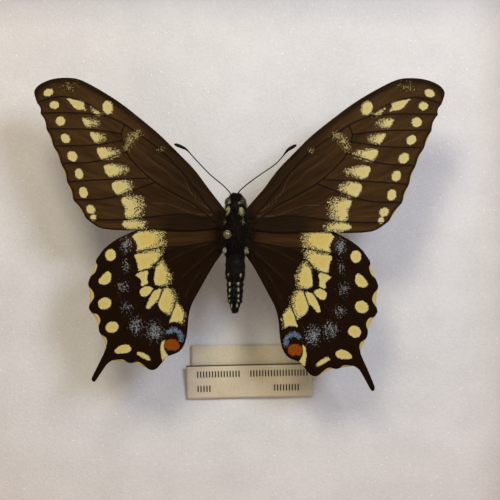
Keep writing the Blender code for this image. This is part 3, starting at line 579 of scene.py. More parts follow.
HINDWING_SPOTS = [
    ([(19.6, -0.65), (19.2, -1.15), (18.9, -1.9), (18.6, -2.55), (18.8, -3.5), (17.2, -3.15), (15.3, -2.85),
      (14.3, -2.55), (14.3, -0.55), (14.7, 0.6), (17.95, 0.4)], CRISP, LONG_DUSTED),
    ([(19.2, -4.3), (18.7, -4.0), (17.2, -3.7), (15.3, -3.3), (14.35, -3.2), (14.35, -4.2), (14.7, -5.2),
      (15.7, -6.0), (16.4, -6.65), (17.4, -6.95), (18.4, -7.15), (18.6, -5.9), (18.9, -5.1)], CRISP, DUSTED),
    ([(19.0, -8.0), (18.3, -7.5), (17.4, -7.2), (16.8, -7.2), (16.6, -7.6), (16.8, -8.4), (16.7, -9.5),
      (17.1, -9.85), (17.9, -10.05), (18.05, -9.9), (17.9, -9.2), (18.15, -8.75), (18.7, -8.25)],
     CRISP, CRISP),
    ([(15.2, -6.65), (14.7, -6.1), (14.0, -5.3), (13.2, -6.65), (12.6, -8.0), (12.8, -9.1), (13.4, -9.8),
      (14.35, -10.0), (15.2, -9.75), (15.5, -9.1), (15.4, -8.0)], CRISP, DUSTED),
    ([(18.2, -11.0), (17.8, -10.45), (17.0, -10.1), (16.25, -10.25), (15.7, -10.6), (16.05, -11.1),
      (16.6, -11.8), (17.4, -12.1), (17.95, -11.9)], CRISP, CRISP),
    ([(17.0, -14.25), (16.8, -13.3), (16.25, -12.2), (15.7, -11.2), (15.1, -10.8), (14.35, -10.65),
      (14.05, -10.8), (14.35, -11.8), (14.8, -12.7), (15.7, -13.6), (16.4, -14.35)], CRISP, 0.25),
    ([(13.2, -10.3), (12.6, -10.45), (12.05, -11.4), (11.6, -12.2), (11.7, -13.3), (12.05, -14.4),
      (12.4, -15.5), (13.2, -15.2), (14.05, -14.8), (14.6, -13.9), (14.7, -13.1), (14.15, -11.8),
      (13.7, -10.8)], CRISP, DUSTED),
    ([(11.1, -13.5), (10.5, -14.0), (10.0, -14.8), (9.7, -15.6), (9.9, -16.5), (10.0, -17.4), (10.7, -17.0),
      (12.05, -16.9), (12.7, -17.2), (12.35, -16.15), (12.0, -14.8), (11.5, -14.05)], CRISP, 0.5),
    (ellipse(23.75, -4.2, 1.0, 1.14, 0), CRISP, CRISP),
    ([(26.0, -9.1), (25.55, -8.35), (24.8, -7.6), (24.0, -7.3), (23.65, -8.0), (23.7, -8.9), (24.2, -9.6),
      (25.2, -9.8), (25.85, -9.6)], CRISP, CRISP),
    (ellipse(24.9, -13.4, 1.3, 1.1, -20), CRISP, CRISP),
    (ellipse(23.55, -17.95, 1.25, 1.05, -20), CRISP, CRISP),
    ([(23.1, -22.5), (22.6, -21.85), (21.75, -21.4), (20.8, -21.3), (20.05, -21.75), (20.05, -22.4),
      (20.7, -22.9), (22.1, -23.0), (22.9, -22.9)], CRISP, CRISP),
    ([(18.9, -22.9), (18.25, -22.7), (17.5, -23.0), (16.7, -23.55), (16.3, -24.3), (17.0, -24.25),
      (17.95, -23.75), (18.7, -23.3)], CRISP, 0.2),
    ([(14.05, -20.7), (13.5, -20.5), (13.7, -21.5), (13.6, -22.4), (13.1, -23.2), (13.0, -23.65),
      (13.9, -24.4), (14.15, -23.9), (14.35, -22.4), (14.25, -21.3)], CRISP, CRISP),
]
# Dusting: a blob of single scales is its centre, half sizes, tilt and the share of scales at its middle
FOREWING_DUST = [
    (18.9, 18.6, 0.9, 0.7, -40, 0.6), (20.0, 17.7, 1.0, 0.75, -60, 0.6), (20.5, 16.5, 0.8, 0.6, -70, 0.6),
    (14.2, 15.8, 0.6, 0.4, 0, 0.35), (31.4, 27.7, 1.9, 0.9, -20, 0.16)]
HINDWING_BLUE = [
    (20.8, -2.3, 0.8, 1.2, 0, 0.5), (20.8, -6.2, 0.7, 1.1, 0, 0.28), (21.5, -10.2, 1.0, 1.0, 0, 0.3),
    (20.6, -14.2, 1.0, 1.0, 0, 0.32), (19.0, -17.7, 1.1, 1.4, 0, 0.42), (15.5, -18.7, 1.3, 1.6, 0, 0.48)]
EYESPOT_BLUE = [(12.8, -18.9), (12.2, -18.5), (11.5, -18.5), (10.8, -19.0), (10.4, -19.7), (10.4, -20.3)]
EYESPOT_BLUE_HALF = 0.48
EYESPOT_ORANGE = ellipse(12.2, -21.4, 1.5, 1.2, 0)
EYESPOT_PUPIL = ellipse(12.5, -22.8, 1.0, 0.5, 0)


def smooth_through(points, steps, closed=False):
    """Catmull-Rom curve through the points, with the given number of steps in each span."""
    points = np.array(points, float)
    n = len(points)
    result = []
    for i in range(n if closed else n - 1):
        a, b, c, d = (points[(i + k) % n if closed else min(max(i + k, 0), n - 1)] for k in (-1, 0, 1, 2))
        for t in np.arange(steps) / steps:
            result.append(0.5 * (2 * b + (c - a) * t + (2 * a - 5 * b + 4 * c - d) * t ** 2
                                 + (3 * b - a - 3 * c + d) * t ** 3))
    if not closed:
        result.append(points[-1])
    return np.array(result)


def evenly(points, spacing, closed=False):
    """The same line with its points about the given distance apart."""
    line = np.vstack([points, points[:1]]) if closed else np.array(points)
    along = np.concatenate([[0], np.cumsum(np.linalg.norm(np.diff(line, axis=0), axis=1))])
    wanted = np.linspace(0, along[-1], max(2, int(along[-1] / spacing) + 1))
    even = np.column_stack([np.interp(wanted, along, line[:, k]) for k in range(line.shape[1])])
    return even[:-1] if closed else even


def distance_to(points, line, closed=False):
    """Each point's distance to a line of straight pieces."""
    starts = np.array(line)
    ends = np.roll(starts, -1, axis=0)
    if not closed:
        starts, ends = starts[:-1], ends[:-1]
    least = np.full(len(points), 1e9)
    for start, end in zip(starts, ends):
        along = end - start
        t = np.clip(((points - start) @ along) / max(along @ along, 1e-12), 0, 1)
        least = np.minimum(least, np.linalg.norm(points - start - t[:, None] * along, axis=1))
    return least


def is_inside(points, ring):
    """Even-odd test of each point against a closed outline."""
    odd = np.zeros(len(points), bool)
    for a, b in zip(ring, np.roll(ring, -1, axis=0)):
        if a[1] == b[1]:
            continue
        crosses = (a[1] > points[:, 1]) != (b[1] > points[:, 1])
        odd ^= crosses & (points[:, 0] < a[0] + (points[:, 1] - a[1]) / (b[1] - a[1]) * (b[0] - a[0]))
    return odd


def depth_inside(points, ring):
    """Distance to a closed outline: above 0 inside it and below 0 outside."""
    distance = distance_to(points, ring, closed=True)
    return np.where(is_inside(points, ring), distance, -distance)


def forewing_outline():
    """The forewing's closed edge: leading edge, outer edge scalloped between the veins, and inner edge."""
    leading = smooth_through(FOREWING_ROOT[3:] + FOREWING_COSTA + FOREWING_VEIN_ENDS[:1], 5)
    outer = []
    for start, end in zip(FOREWING_VEIN_ENDS, FOREWING_VEIN_ENDS[1:]):
        start, end = np.array(start), np.array(end)
        along = end - start
        inwards = np.array((along[1], -along[0])) / np.linalg.norm(along)
        outer += [start + along * t + inwards * FOREWING_SCALLOP * math.sin(math.pi * t)
                  for t in np.linspace(0.1, 1, 10)]
    inner = smooth_through([FOREWING_VEIN_ENDS[-1]] + FOREWING_INNER + FOREWING_ROOT[:1], 5)
    return np.vstack([leading, outer, inner[1:], FOREWING_ROOT[1:3]])


def hindwing_outline():
    """The hindwing's edge from root to root: leading edge, lobes, tail and inner edge."""
    shown = HINDWING_COSTA + HINDWING_LOBES + HINDWING_TAIL + HINDWING_REAR + HINDWING_INNER
    return smooth_through(shown, 5)


def filled_notches(ring, notches):
    """The outline with each notch filled part of the way to the chord between its two tips."""
    filled = ring.copy()
    for first_tip, last_tip in notches:
        i, j = (int(np.argmin(np.linalg.norm(ring - tip, axis=1))) for tip in (first_tip, last_tip))
        chord = ring[j] - ring[i]
        for k in range(i + 1, j):
            t = ((ring[k] - ring[i]) @ chord) / (chord @ chord)
            filled[k] += FRINGE_SHARE * (ring[i] + t * chord - ring[k])
    return filled


def fine_net(ring, veins):
    """Points and triangles over the outline, with the veins as edges, and which points are on a vein."""
    ring = evenly(ring, NET_MM, closed=True)
    lines = [evenly(smooth_through(vein, 6), NET_MM) for vein in veins]
    fixed = [ring]
    edges = []
    total = len(ring)
    for line in lines:
        line = line[depth_inside(line, ring) > 0.4 * NET_MM]
        edges += [(total + k, total + k + 1) for k in range(len(line) - 1)]
        fixed.append(line)
        total += len(line)
    fixed = np.vstack(fixed)
    low, high = ring.min(0), ring.max(0)
    free = []
    for k, y in enumerate(np.arange(low[1], high[1], NET_MM * math.sqrt(3) / 2)):
        row = np.arange(low[0] + (k % 2) * NET_MM / 2, high[0], NET_MM)
        free.append(np.column_stack([row, np.full(len(row), y)]))
    free = np.vstack(free)
    free = free[depth_inside(free, ring) > 0.55 * NET_MM]
    free = free[nearest_of(free, veins) > 0.5 * NET_MM]
    points = [Vector(p) for p in np.vstack([fixed, free])]
    out, _, faces, origins, _, _ = delaunay_2d_cdt(points, edges, [list(range(len(ring)))], 1, 1e-5)
    on_vein = np.array([any(len(ring) <= k < total for k in origin) or not origin for origin in origins])
    return np.array([tuple(p) for p in out]), faces, on_vein


def spread(name, points):
    """Moves points of the wing pattern to where they lie on one of the four wings."""
    _, grow_x, grow_y, turn, shift, longer_tail, hollow = WING_SPREAD[name]
    x, y = points[:, 0].copy(), points[:, 1].copy()
    tail = (x > TAIL_BEGINS[0]) & (y < TAIL_BEGINS[1])
    y[tail] -= longer_tail * (TAIL_BEGINS[1] - y[tail])
    near_root = np.clip(1 - np.hypot(x - HOLLOW_CENTRE[0], y - HOLLOW_CENTRE[1]) / HOLLOW_REACH, 0, None)
    turn = math.radians(turn)
    x, y = x * grow_x, y * grow_y
    outwards = x * math.cos(turn) - y * math.sin(turn) + shift[0] + hollow * near_root
    return np.maximum(outwards, WING_ROOT_LEAST), x * math.sin(turn) + y * math.cos(turn) + shift[1]


def edge_fields(points, spots):
    """For the spots together: depth inside the nearest one, and the width of its dusted edge."""
    depth, width, best = (np.full(len(points), value) for value in (-9.0, 1.0, -1e9))
    for outline, outer, inner in spots:
        outline = smooth_through(outline, 4, closed=True)
        inside = depth_inside(points, outline)
        middle, half = outline.mean(0), np.ptp(outline[:, 0]) / 2
        towards_body = np.clip((middle[0] - points[:, 0]) / half * 0.5 + 0.5, 0, 1)
        dusted = outer + (inner - outer) * towards_body ** 1.5
        better = inside / dusted > best
        best = np.where(better, inside / dusted, best)
        depth, width = np.where(better, inside, depth), np.where(better, dusted, width)
    return depth, width


def dust_share(points, blobs):
    """The share of dusted scales at each point, from blobs that thin out from their middles."""
    share = np.zeros(len(points))
    for x, y, half_long, half_short, tilt, most in blobs:
        turn = math.radians(tilt)
        dx, dy = points[:, 0] - x, points[:, 1] - y
        along, across = dx * math.cos(turn) + dy * math.sin(turn), dy * math.cos(turn) - dx * math.sin(turn)
        share = np.maximum(share, most * np.exp(-(along / half_long) ** 2 - (across / half_short) ** 2))
    return share


def ramp(values, low, high):
    """Rises smoothly from 0 at low to 1 at high."""
    t = np.clip((values - low) / (high - low), 0, 1)
    return t * t * (3 - 2 * t)


def put_values(mesh, **fields):
    """Stores values or vectors at the mesh's points, for its material to read by name."""
    for name, values in fields.items():
        values = np.asarray(values, np.float32)
        if values.ndim == 1:
            mesh.attributes.new(name, "FLOAT", "POINT").data.foreach_set("value", values)
        elif values.shape[1] == 3:
            mesh.attributes.new(name, "FLOAT_VECTOR", "POINT").data.foreach_set("vector", values.ravel())
        else:
            mesh.attributes.new(name, "FLOAT_COLOR", "POINT").data.foreach_set("color", values.ravel())


SCALE_MM, YELLOW_MOTTLE_MM = 0.12, 0.5
STREAK_ROOT = (-3.0, 0.0)
FIELDS = ("yellow", "dusted", "dark", "blue", "arc", "orange", "vein", "fold", "fringe", "dust")


def wing_scales(name, ground_light, ground_dark, yellow_light, yellow_deep, fold_share):
    """Wing scales: matt dust-like platelets, each one tone, whose random choice makes the dusted edges."""
    material = new_material(name, Roughness=0.6, Specular_IOR_Level=0.03)
    place = add_node(material, "TexCoord").outputs["Object"]
    stored = {field: add_node(material, "Attribute", attribute_name=field).outputs["Fac"] for field in FIELDS}
    scales = add_node(material, "TexVoronoi", {"Vector": place, "Scale": 1 / (SCALE_MM * MM)})
    chance = add_node(material, "SeparateColor", {0: scales.outputs["Color"]}).outputs
    along = add_node(material, "Attribute", attribute_name="along").outputs["Vector"]
    streaks = add_node(material, "TexNoise", {"Vector": along, "Scale": 1.0, "Detail": 4.0,
                                              "Roughness": 0.65}).outputs["Fac"]
    bare = add_node(material, "Math", {0: 1.0, 1: stored["dark"]}, operation="SUBTRACT",
                    use_clamp=True).outputs[0]
    ratio = add_node(material, "Math", {0: stored["yellow"], 1: stored["dusted"]},
                     operation="DIVIDE").outputs[0]

    # The yellow is deeper in the middle of a spot, in small mottles
    mottle = add_node(material, "TexNoise", {"Vector": place, "Scale": 1 / (YELLOW_MOTTLE_MM * MM),
                                             "Detail": 3.0}).outputs["Fac"]
    mottle = add_node(material, "MapRange", {"Value": mottle, "From Min": 0.3, "From Max": 0.7,
                                             "To Min": 0.4, "To Max": 1.0}).outputs["Result"]
    middle = add_node(material, "MapRange", {"Value": stored["yellow"], "From Min": 0.1,
                                             "From Max": 1.1}).outputs["Result"]
    middle = add_node(material, "Math", {0: middle, 1: mottle}, operation="MULTIPLY").outputs[0]
    yellow = add_node(material, "Mix", {0: middle, 6: linear(yellow_light), 7: linear(yellow_deep)},
                      data_type="RGBA").outputs[2]

    # Layers from the ground up: a value, its range, the shares at the range's ends, what they are
    # multiplied by, the random number that picks whole scales, and the colour
    arc_from, arc_to = EYESPOT_BLUE_HALF * 0.3, EYESPOT_BLUE_HALF * 1.5
    layers = [
        (stored["dark"], (0.0, 1.0), (0.0, 1.0), None, None, linear(ground_dark)),
        (streaks, (0.48, 0.8), (0.0, 0.35), bare, None, linear("#6b4d2a")),
        (streaks, (0.5, 0.3), (0.0, 0.45), None, None, linear(ground_dark)),
        (stored["fold"], (0.04, 0.15), (fold_share, 0.0), streaks, None, linear("#8a6a44")),
        (chance["Blue"], (0.0, 1.0), (0.0, 0.3), None, None, linear(ground_dark)),
        (stored["vein"], (0.05, 0.21), (0.5, 0.0), None, None, linear("#110a06")),
        (ratio, (-1.0, 1.0), (-0.05, 1.05), None, "Red", yellow),
        (stored["vein"], (0.06, 0.17), (0.85, 0.0), None, None, linear("#150d08")),
        (stored["dust"], (0.0, 1.0), (0.0, 1.0), None, "Green", linear("#a3935c")),
        (stored["blue"], (0.0, 1.0), (0.0, 1.0), None, "Green", linear("#8f9090")),
        (stored["arc"], (arc_from, arc_to), (0.72, 0.0), None, "Blue", linear("#6a7b8f")),
        (stored["orange"], (-0.15, 0.2), (0.0, 1.0), None, "Red", linear("#86420a")),
        (stored["fringe"], (0.04, 0.12), (0.0, 1.0), None, None, linear("#bda967")),
    ]
    colour = linear(ground_light)
    for value, (low, high), (first, last), times, pick, paint in layers:
        share = add_node(material, "MapRange", {"Value": value, "From Min": low, "From Max": high,
                                                "To Min": first, "To Max": last}).outputs["Result"]
        if times:
            share = add_node(material, "Math", {0: share, 1: times}, operation="MULTIPLY").outputs[0]
        if pick:
            share = add_node(material, "Math", {0: share, 1: chance[pick]}, operation="SUBTRACT").outputs[0]
            share = add_node(material, "MapRange", {"Value": share, "From Max": 0.06}).outputs["Result"]
        colour = add_node(material, "Mix", {0: share, 6: colour, 7: paint}, data_type="RGBA").outputs[2]
    height = add_node(material, "Math", {0: scales.outputs["Distance"], 1: -0.5},
                      operation="MULTIPLY").outputs[0]
    finish_material(material, colour, height, 0.03 * MM)
    return material


forewing_scales = wing_scales("forewing_scales", "#422c14", "#120903", "#c8b87c", "#c3ab60", 0.34)
hindwing_scales = wing_scales("hindwing_scales", "#3e2710", "#180a02", "#caba75", "#c7a852", 0.12)


def forewing_fields(points, ring):
    """How dark the forewing's ground is: black along the leading edge, at the root and at the rim."""
    x, y = points[:, 0], points[:, 1]
    leading = smooth_through(FOREWING_ROOT[3:] + FOREWING_COSTA, 5)
    from_edge, from_rim = distance_to(points, leading), distance_to(points, ring, closed=True)
    by_hindwing = (1 - ramp(y, 2.9, 4.2)) * (1 - ramp(x, 12, 18))
    dark = np.maximum.reduce([0.75 * (1 - ramp(from_edge, 0.6, 1.4)),
                              0.9 * (1 - ramp(np.hypot(x, y - 2), 2, 9)),
                              0.8 * by_hindwing, 0.7 * (1 - ramp(from_rim, 0.15, 0.5)),
                              0.05 + 0.6 * (1 - ramp(x, 8, 25))])
    # The forewing has no blue dusting, and no eyespot is near it
    return dark, np.zeros(len(points)), np.full(len(points), 9.0), np.full(len(points), -9.0)


def hindwing_fields(points, ring):
    """The hindwing's ground is brown near the forewing and black-brown outside the yellow band."""
    x, y = points[:, 0], points[:, 1]
    outwards = x * 0.78 - y * 0.62
    near_forewing = ramp(y + 1.16 + 0.113 * x, -0.9, 0.7) * ramp(x, 3, 7)
    from_rim = distance_to(points, ring, closed=True)
    dark = np.maximum.reduce([0.95 * ramp(outwards, 14, 18), 0.85 * (1 - ramp(np.hypot(x, y), 2, 7)),
                              0.95 * (1 - ramp(from_rim, 0.2, 0.9)), 0.93 - 0.72 * near_forewing])
    orange = np.minimum(depth_inside(points, np.array(EYESPOT_ORANGE)),
                        -depth_inside(points, np.array(EYESPOT_PUPIL)))
    arc = distance_to(points, smooth_through(EYESPOT_BLUE, 4))
    return dark, dust_share(points, HINDWING_BLUE), arc, orange


def nearest_of(points, lines):
    """Each point's distance to the nearest of several curves."""
    return np.minimum.reduce([distance_to(points, smooth_through(line, 6)) for line in lines])


# Streaks run out from the root, so many to a radian and to a millimetre. The membrane sags between
# the veins, and the whole wing is a little wavy.
STREAKS_A_RADIAN, STREAKS_A_MM = 28, 0.12
SAG_MM, SAG_REACH_MM, RIPPLE_MM = 0.07, 0.7, 0.05


def build_wing_pair(kind, outline, notches, veins, folds, spots, dust, fields, material, lowered, droop):
    """The left and right wing of a pair from one fine net, each set as it is spread."""
    ring = filled_notches(outline, notches)
    points, faces, on_vein = fine_net(ring, veins)
    yellow, dusted = edge_fields(points, spots)
    dark, blue, arc, orange = fields(points, outline)
    vein, fold = nearest_of(points, veins), nearest_of(points, folds)
    fringe = -depth_inside(points, outline)
    root_x, root_y = points[:, 0] - STREAK_ROOT[0], points[:, 1] - STREAK_ROOT[1]
    along = np.column_stack([np.arctan2(root_y, root_x) * STREAKS_A_RADIAN,
                             np.hypot(root_x, root_y) * STREAKS_A_MM, np.zeros(len(points))])
    sag = -SAG_MM * (1 - np.exp(-(vein / SAG_REACH_MM) ** 2))
    generator = np.random.default_rng(11)
    for side_name in ("left", "right"):
        name = kind + "_" + side_name
        side = WING_SPREAD[name][0]
        x, y = (value * MM for value in spread(name, points))
        ripple = RIPPLE_MM * wavy(x, y, (0.011, 0.005), generator)
        z = WING_RISE * x - lowered - droop * np.minimum(y, 0) ** 2
        z += (sag + ripple + VEIN_HEIGHT_MM * on_vein) * MM
        placed = np.column_stack([side * x, y, z]) + np.array(SPECIMEN)
        wing = new_piece(name + "_scaled", placed, [f if side > 0 else f[::-1] for f in faces])
        put_values(wing.data, yellow=yellow, dusted=dusted, dark=dark, blue=blue, arc=arc, orange=orange,
                   vein=vein, fold=fold, fringe=fringe, dust=dust_share(points, dust), along=along)
        membrane = wing.modifiers.new("membrane", "SOLIDIFY")
        membrane.thickness, membrane.offset = MEMBRANE_THICK, 0.0
        wing.data.materials.append(material)
        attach(wing, "root")
        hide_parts(name)


build_wing_pair("forewing", forewing_outline(), FOREWING_NOTCHES, FOREWING_VEINS, FOREWING_FOLDS,
                FOREWING_SPOTS, FOREWING_DUST, forewing_fields, forewing_scales, 0.0, 0.0)
build_wing_pair("hindwing", hindwing_outline(), HINDWING_NOTCHES, HINDWING_VEINS, HINDWING_FOLDS,
                HINDWING_SPOTS, [], hindwing_fields, hindwing_scales, HINDWING_DROP, HINDWING_DROOP)


# Body: a dry insect's head, thorax and abdomen, dark horny cuticle under black hair, with pale scale
# spots on the abdomen and yellow tufts behind the eyes. Places are in millimetres from the thorax.
BODY_PROFILE = [
    (0.0, 7.65), (0.62, 7.45), (0.92, 7.05), (1.3, 6.5), (1.5, 5.8), (1.45, 5.0), (1.25, 4.4), (1.75, 3.8),
    (2.1, 3.0), (2.3, 1.8), (2.35, 0.3), (2.3, -1.3), (2.05, -2.5), (1.65, -3.25), (1.78, -4.2), (1.72, -5.0),
    (1.86, -5.9), (1.8, -6.8), (1.84, -7.6), (1.7, -8.5), (1.4, -9.1), (1.58, -9.6), (1.38, -10.1),
    (1.5, -10.8), (1.34, -11.4), (1.38, -12.0), (1.24, -12.5), (1.26, -12.9), (0.95, -13.4), (0.62, -14.5),
    (0.4, -15.2), (0.0, -15.4)]
BODY_TURN = math.radians(-0.6)
THORAX_CENTRE_Z = -1.1
THORAX_REAR, THORAX_FRONT = -3.2, 3.6
# Depth over width of the thorax, and of the head and abdomen
THORAX_DEPTH, REST_DEPTH = 1.08, 1.04
ABDOMEN_SAG = 0.035
BODY_AROUND = 40
# Pale marks: x, y, half width, half length
PALE_MARKS = [(-1.42, -7.9, 0.1, 0.25), (1.0, -8.0, 0.12, 0.28), (-1.12, -9.6, 0.12, 0.3),
              (0.5, -9.6, 0.13, 0.3), (-1.1, -10.75, 0.14, 0.28), (0.52, -10.7, 0.17, 0.3),
              (-1.15, -11.9, 0.13, 0.2), (0.56, -11.85, 0.15, 0.24), (-1.1, -12.75, 0.12, 0.16),
              (0.53, -12.75, 0.14, 0.17), (-0.75, -13.7, 0.11, 0.4), (0.28, -13.7, 0.15, 0.4)]
# Yellow tufts: x, y, half width, half length
YELLOW_TUFTS = [(-1.27, 4.55, 0.36, 0.62), (1.0, 4.5, 0.42, 0.62), (-1.05, 5.85, 0.24, 0.35),
                (0.65, 5.8, 0.22, 0.32), (-1.75, 2.75, 0.12, 0.6), (1.3, 2.65, 0.12, 0.6),
                (-2.1, -3.1, 0.42, 0.4), (1.9, -3.2, 0.5, 0.4)]
# The neck is thicker with its collar of hair than the solid that it replaces
COLLAR_AT, COLLAR_REACH, COLLAR_SWELLS = 4.6, 0.9, 0.5
profile = smooth_through(BODY_PROFILE, 4)
collar = COLLAR_SWELLS * np.exp(-((profile[:, 1] - COLLAR_AT) / COLLAR_REACH) ** 2)
profile[:, 0] += collar * (profile[:, 0] > 0.5)
profile[:, 0] = np.maximum(profile[:, 0], 0)


def body_surface(along, around):
    """Points on the body, and their outward directions, for places on the profile and angles round it."""
    step = np.clip(along, 0, len(profile) - 1.001)
    first = step.astype(int)
    part = step - first
    here = profile[first] * (1 - part[:, None]) + profile[first + 1] * part[:, None]
    slope = profile[first + 1] - profile[first]
    radius, y = here[:, 0], here[:, 1]
    deepen = np.where((y > THORAX_REAR) & (y < THORAX_FRONT), THORAX_DEPTH, REST_DEPTH)
    x, z = radius * np.cos(around), radius * np.sin(around) * deepen
    z = z + THORAX_CENTRE_Z + ABDOMEN_SAG * np.minimum(y - THORAX_REAR, 0)
    length = np.hypot(slope[:, 0], slope[:, 1]) + 1e-9
    lengthways = -slope[:, 0] / length
    outward = np.column_stack([np.cos(around), -lengthways, np.sin(around)])
    outward /= np.linalg.norm(outward, axis=1)[:, None]
    turned_x = x * math.cos(BODY_TURN) - y * math.sin(BODY_TURN)
    turned_y = x * math.sin(BODY_TURN) + y * math.cos(BODY_TURN)
    return np.column_stack([turned_x, turned_y, z]), outward


def marked(points, marks):
    """How much each point lies in one of the marks, from 0 to 1."""
    share = np.zeros(len(points))
    for x, y, half_x, half_y in marks:
        off = np.hypot((points[:, 0] - x) / half_x, (points[:, 1] - y) / half_y)
        share = np.maximum(share, 1 - ramp(off, 0.75, 1.15))
    return share


ring_count = len(profile)
alongs = np.repeat(np.arange(ring_count, dtype=float), BODY_AROUND)
arounds = np.tile(np.linspace(0, 2 * math.pi, BODY_AROUND, endpoint=False), ring_count)
body_points, _ = body_surface(alongs, arounds)
body_faces = [(r * BODY_AROUND + k, r * BODY_AROUND + (k + 1) % BODY_AROUND,
               (r + 1) * BODY_AROUND + (k + 1) % BODY_AROUND, (r + 1) * BODY_AROUND + k)
              for r in range(ring_count - 1) for k in range(BODY_AROUND)]
body_core = new_piece("body_cuticle", body_points * MM + np.array(SPECIMEN), body_faces)
put_values(body_core.data, pale=marked(body_points, PALE_MARKS) * (body_points[:, 2] > THORAX_CENTRE_Z))
CUTICLE_GRAIN_MM = 0.25
cuticle = new_material("dry_black_cuticle", Roughness=0.5, Specular_IOR_Level=0.08)
cuticle_place = add_node(cuticle, "TexCoord").outputs["Object"]
cuticle_grain = add_node(cuticle, "TexNoise", {"Vector": cuticle_place, "Scale": 1 / (CUTICLE_GRAIN_MM * MM),
                                               "Detail": 4.0}).outputs["Fac"]
cuticle_colour = add_node(cuticle, "Mix", {0: cuticle_grain, 6: linear("#090605"), 7: linear("#17100b")},
                          data_type="RGBA").outputs[2]
pale_share = add_node(cuticle, "Attribute", attribute_name="pale").outputs["Fac"]
cuticle_colour = add_node(cuticle, "Mix", {0: pale_share, 6: cuticle_colour, 7: linear("#b9ad8c")},
                          data_type="RGBA").outputs[2]
finish_material(cuticle, cuticle_colour, cuticle_grain, 0.04 * MM)
body_core.data.materials.append(cuticle)
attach(body_core, "root")
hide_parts("body")


def strands(name, roots, directions, lengths, thickness, droop, colours):
    """Tapered three-sided hairs as one mesh, in millimetres from the thorax; droop bends their tips."""
    directions = directions / np.linalg.norm(directions, axis=1)[:, None]
    side = np.cross(directions, np.array([0.31, 0.22, 0.93]))
    side /= np.linalg.norm(side, axis=1)[:, None]
    other = np.cross(directions, side)
    levels = []
    for t, width in ((0.0, 1.0), (0.5, 0.75)):
        middle = roots + directions * (lengths * t)[:, None] + droop * (lengths * t * t)[:, None]
        for k in range(3):
            angle = 2 * math.pi * k / 3
            levels.append(middle + (side * math.cos(angle) + other * math.sin(angle)) * thickness * width)
    levels.append(roots + directions * lengths[:, None] + droop * lengths[:, None])
    points = np.stack(levels, axis=1).reshape(-1, 3)
    faces = []
    for hair in range(len(roots)):
        b = hair * 7
        for k in range(3):
            n = (k + 1) % 3
            faces.append((b + k, b + n, b + 3 + n, b + 3 + k))
            faces.append((b + 3 + k, b + 3 + n, b + 6))
    piece = new_piece(name, points * MM + np.array(SPECIMEN), faces)
    tints = np.repeat(np.column_stack([colours, np.ones(len(colours))]), 7, axis=0)
    put_values(piece.data, tint=tints)
    return piece


HAIR_TONE_MM, HAIR_SUNK_MM = 0.3, 0.03
hair = new_material("insect_hair", Roughness=0.45, Specular_IOR_Level=0.1)
hair_tint = add_node(hair, "Attribute", attribute_name="tint").outputs["Color"]
hair_place = add_node(hair, "TexCoord").outputs["Object"]
hair_uneven = add_node(hair, "TexNoise", {"Vector": hair_place,
                                          "Scale": 1 / (HAIR_TONE_MM * MM)}).outputs["Fac"]
hair_share = add_node(hair, "MapRange", {"Value": hair_uneven, "To Max": 0.5}).outputs["Result"]
hair_colour = add_node(hair, "Mix", {0: hair_share, 6: hair_tint, 7: linear("#0a0705")},
                       data_type="RGBA").outputs[2]
finish_material(hair, hair_colour)
hair_random = np.random.default_rng(5)
BLACK_HAIR, BROWN_HAIR = np.array(linear("#0d0a08")[:3]), np.array(linear("#3a2a1a")[:3])
YELLOW_HAIR, CREAM_HAIR = np.array(linear("#e4d89c")[:3]), np.array(linear("#f2e8c8")[:3])


def body_hair(name, how_many, from_y, to_y, lengths, thickness, lift):
    """Hair on a stretch of the body, lying back towards the tail, pale in the marks and tufts."""
    ys = profile[:, 1]
    first, last = np.interp([-from_y, -to_y], -ys, np.arange(len(ys)))
    along = hair_random.uniform(first, last, how_many)
    around = hair_random.uniform(0, 2 * math.pi, how_many)
    roots, outward = body_surface(along, around)
    sunk_roots = roots - outward * HAIR_SUNK_MM
    backwards = np.tile([0.0, -1.0, 0.0], (how_many, 1))
    stray = hair_random.normal(0, 0.22, (how_many, 3))
    directions = outward * lift + backwards + stray
    length = hair_random.uniform(*lengths, how_many)
    brown = hair_random.uniform(0, 1, how_many) < 0.25
    colours = np.where(brown[:, None], BROWN_HAIR, BLACK_HAIR)
    upper = roots[:, 2] > THORAX_CENTRE_Z
    for marks, tone in ((YELLOW_TUFTS, YELLOW_HAIR), (PALE_MARKS, CREAM_HAIR)):
        marked_hair = (marked(roots, marks) > hair_random.uniform(0.1, 0.9, how_many)) & upper
        colours = np.where(marked_hair[:, None], tone, colours)
    piece = strands(name, sunk_roots, directions, length, thickness, np.array([0, 0, -0.15]), colours)
    piece.data.materials.append(hair)
    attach(piece, "root")
    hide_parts("body")


body_hair("thorax_hair", 6000, 4.9, -3.6, (0.7, 1.5), 0.03, 0.6)
body_hair("head_hair", 1800, 7.62, 4.6, (0.4, 0.9), 0.026, 1.3)
body_hair("abdomen_hair", 6000, -3.0, -15.0, (0.3, 0.6), 0.026, 0.3)


